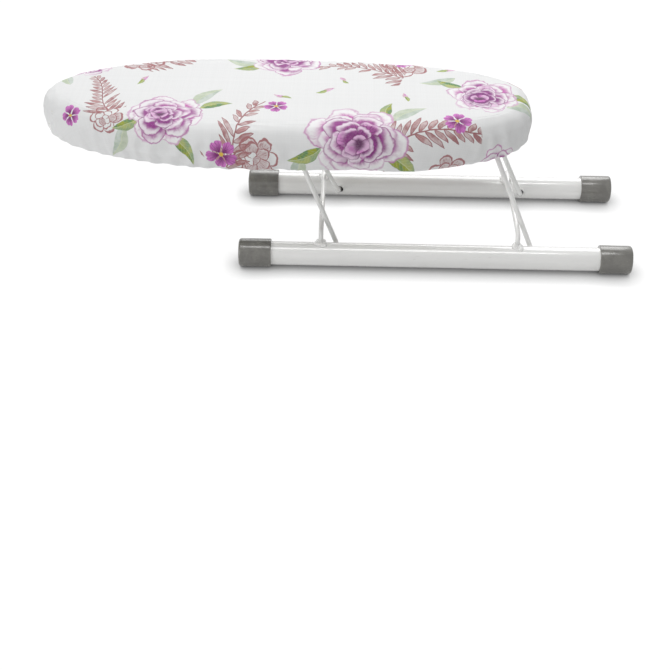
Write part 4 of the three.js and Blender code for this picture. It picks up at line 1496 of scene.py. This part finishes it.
def sewHem(cover, thread):
    look = stitchLook
    tree = BVHTree.FromObject(cover, bpy.context.evaluated_depsgraph_get())
    width = 2 * look["thread"]
    bm = bmesh.new()
    for angle in evenStations(round(loopLength(look["inset"]) / look["pitch"])):
        place = planPoint(angle, look["inset"])
        ahead = (planPoint(angle + look["aheadTurn"], look["inset"]) - place).to_3d()
        below = Vector((place.x, place.y, hemBottom - look["castFrom"]))
        hit, normal, _, _ = tree.ray_cast(below, Vector((0, 0, 1)))
        if hit is None:
            continue
        blob = bmesh.ops.create_uvsphere(bm, u_segments=look["around"], v_segments=look["along"],
                                         radius=0.5)["verts"]
        bmesh.ops.scale(bm, vec=(width, width, look["length"]), verts=blob)
        heading = ahead - normal * ahead.dot(normal)
        bmesh.ops.rotate(bm, cent=(0, 0, 0), matrix=heading.to_track_quat("Z", "Y").to_matrix(), verts=blob)
        bmesh.ops.translate(bm, vec=hit + normal * look["sink"], verts=blob)
    return finishPiece("hem_stitches", bm, thread, "board")


# Hinge clips, rivets and straps under the board

clipLook = {"sheet": 0.0015, "play": 0.0005, "corner": 0.0012, "cornerSteps": 4, "arcSteps": 14,
            "foot": 0.006, "edgeRound": 0.0003, "roundSteps": 2, "sharp": 60}
rivetLook = {"head": 0.0064, "headHeight": 0.0015, "crown": 0.62, "crownRise": 0.0001, "crownRound": 0.4,
             "crownSteps": 6, "shank": 0.0016, "tail": 0.005, "tailHeight": 0.0011, "tailRound": 0.0004,
             "tailSteps": 3, "sides": 28}
softLook = {
    "sharp": 50, "flat": 2, "roundSteps": 2,
    "pieces": (                                # node, piece, width of its rounded edges
        ("left_cross_strap", "left_strap", 0.0003),
        ("right_cross_strap", "right_strap", 0.0003),
        ("mesh_panel", "diamond_panel", 0.0002),
    ),
}


def buildClips(enamel):
    look = clipLook
    outer = wireLook["radius"] + look["play"] + look["sheet"]
    for name in (f"{side}_{place}" for side in ("left", "right") for place in ("front", "rear")):
        low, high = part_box(f"{name}_clip")
        x, y = (low.x + high.x) / 2, low.y
        axisZ = low.z + outer
        footZ = high.z - look["sheet"]
        bm = bmesh.new()
        verts = wireLine(bm, [(low.x, y, footZ), (x - outer, y, footZ), (x - outer, y, axisZ)])
        end = onlyVerts(spinOpen(bm, [verts[-1]], (x, y, axisZ), (0, -1, 0), math.pi, look["arcSteps"]))[0]
        rest = wireLine(bm, [(x + outer, y, footZ), (high.x, y, footZ)])
        bm.edges.new((end, rest[0]))
        roundCorner(bm, verts[1], look["corner"], look["cornerSteps"])
        roundCorner(bm, rest[0], look["corner"], look["cornerSteps"])
        grown = bmesh.ops.extrude_edge_only(bm, edges=bm.edges[:])["geom"]
        bmesh.ops.translate(bm, vec=(0, high.y - y, 0), verts=onlyVerts(grown))
        bmesh.ops.recalc_face_normals(bm, faces=bm.faces)
        footFaces = [face for face in bm.faces if face.calc_center_median().x < low.x + look["foot"]]
        if sum(face.normal.z for face in footFaces) > 0:
            bmesh.ops.reverse_faces(bm, faces=bm.faces)
        bmesh.ops.solidify(bm, geom=bm.faces[:], thickness=look["sheet"])
        bmesh.ops.recalc_face_normals(bm, faces=bm.faces)
        bevelSharp(bm, look["edgeRound"], look["roundSteps"], look["sharp"])
        finishPiece(f"{name}_saddle", bm, enamel, "board", [f"{name}_clip"])


def buildRivets(zinc):
    look = rivetLook
    head, tail, shank = look["head"] / 2, look["tail"] / 2, look["shank"]
    for name in sorted(name for name in frame["nodes"] if "_rivet_" in name):
        low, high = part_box(name)
        middle = (low + high) / 2
        under, over = low.z + look["headHeight"], high.z - look["tailHeight"]
        profile = [(0, low.z), (head * look["crown"], low.z + look["crownRise"]), (head, under),
                   (shank, under), (shank, over), (tail, over), (tail, high.z), (0, high.z)]
        bm = bmesh.new()
        verts = wireLine(bm, [(middle.x + out, middle.y, z) for out, z in profile])
        roundCorner(bm, verts[1], head * look["crownRound"], look["crownSteps"])
        roundCorner(bm, verts[6], look["tailRound"], look["tailSteps"])
        spinProfile(bm, middle, (0, 0, 1), look["sides"])
        finishPiece(name.replace("_rivet_", "_riveted_"), bm, zinc, "board", [name])


def softenNodes(enamel):
    flat = math.radians(softLook["flat"])
    for name, pieceName, width in softLook["pieces"]:
        bm = bmesh.new()
        bm.from_mesh(frame["nodes"][name].data)
        weldVerts(bm)
        bmesh.ops.dissolve_limit(bm, angle_limit=flat, verts=bm.verts, edges=bm.edges)
        bevelSharp(bm, width, softLook["roundSteps"], softLook["sharp"])
        finishPiece(pieceName, bm, enamel, "board", [name])


# Making the object

aimCamera()
layFloor()
lightStudio()
print("camera, floor and lights set")

marks = buildHandlingMarks()
weave = buildWeave()
cotton = makeCotton(weave)
enamel = makeEnamel(marks)
vinyl = makeCapVinyl(marks)
zinc = makeZinc(marks)
foam = makeFoam()
elastic = makeElastic(weave)
print("finishes made")

buildTubes(enamel)
buildCaps(vinyl)
buildStopBars(enamel)
buildLegs(enamel)
print("base and legs made")

buildRim(enamel)
buildPad(foam)
buildElastic(elastic)
buildClips(enamel)
buildRivets(zinc)
softenNodes(enamel)
print("board made")

cover, flatSize, flatArea = buildCover(cotton)
gatherCover(cover, simulate=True)
finishCover(cover)
stitches = sewHem(cover, elastic)
print("cover made, cut", [round(size, 3) for size in flatSize], "m, area", round(flatArea, 4), "m2")
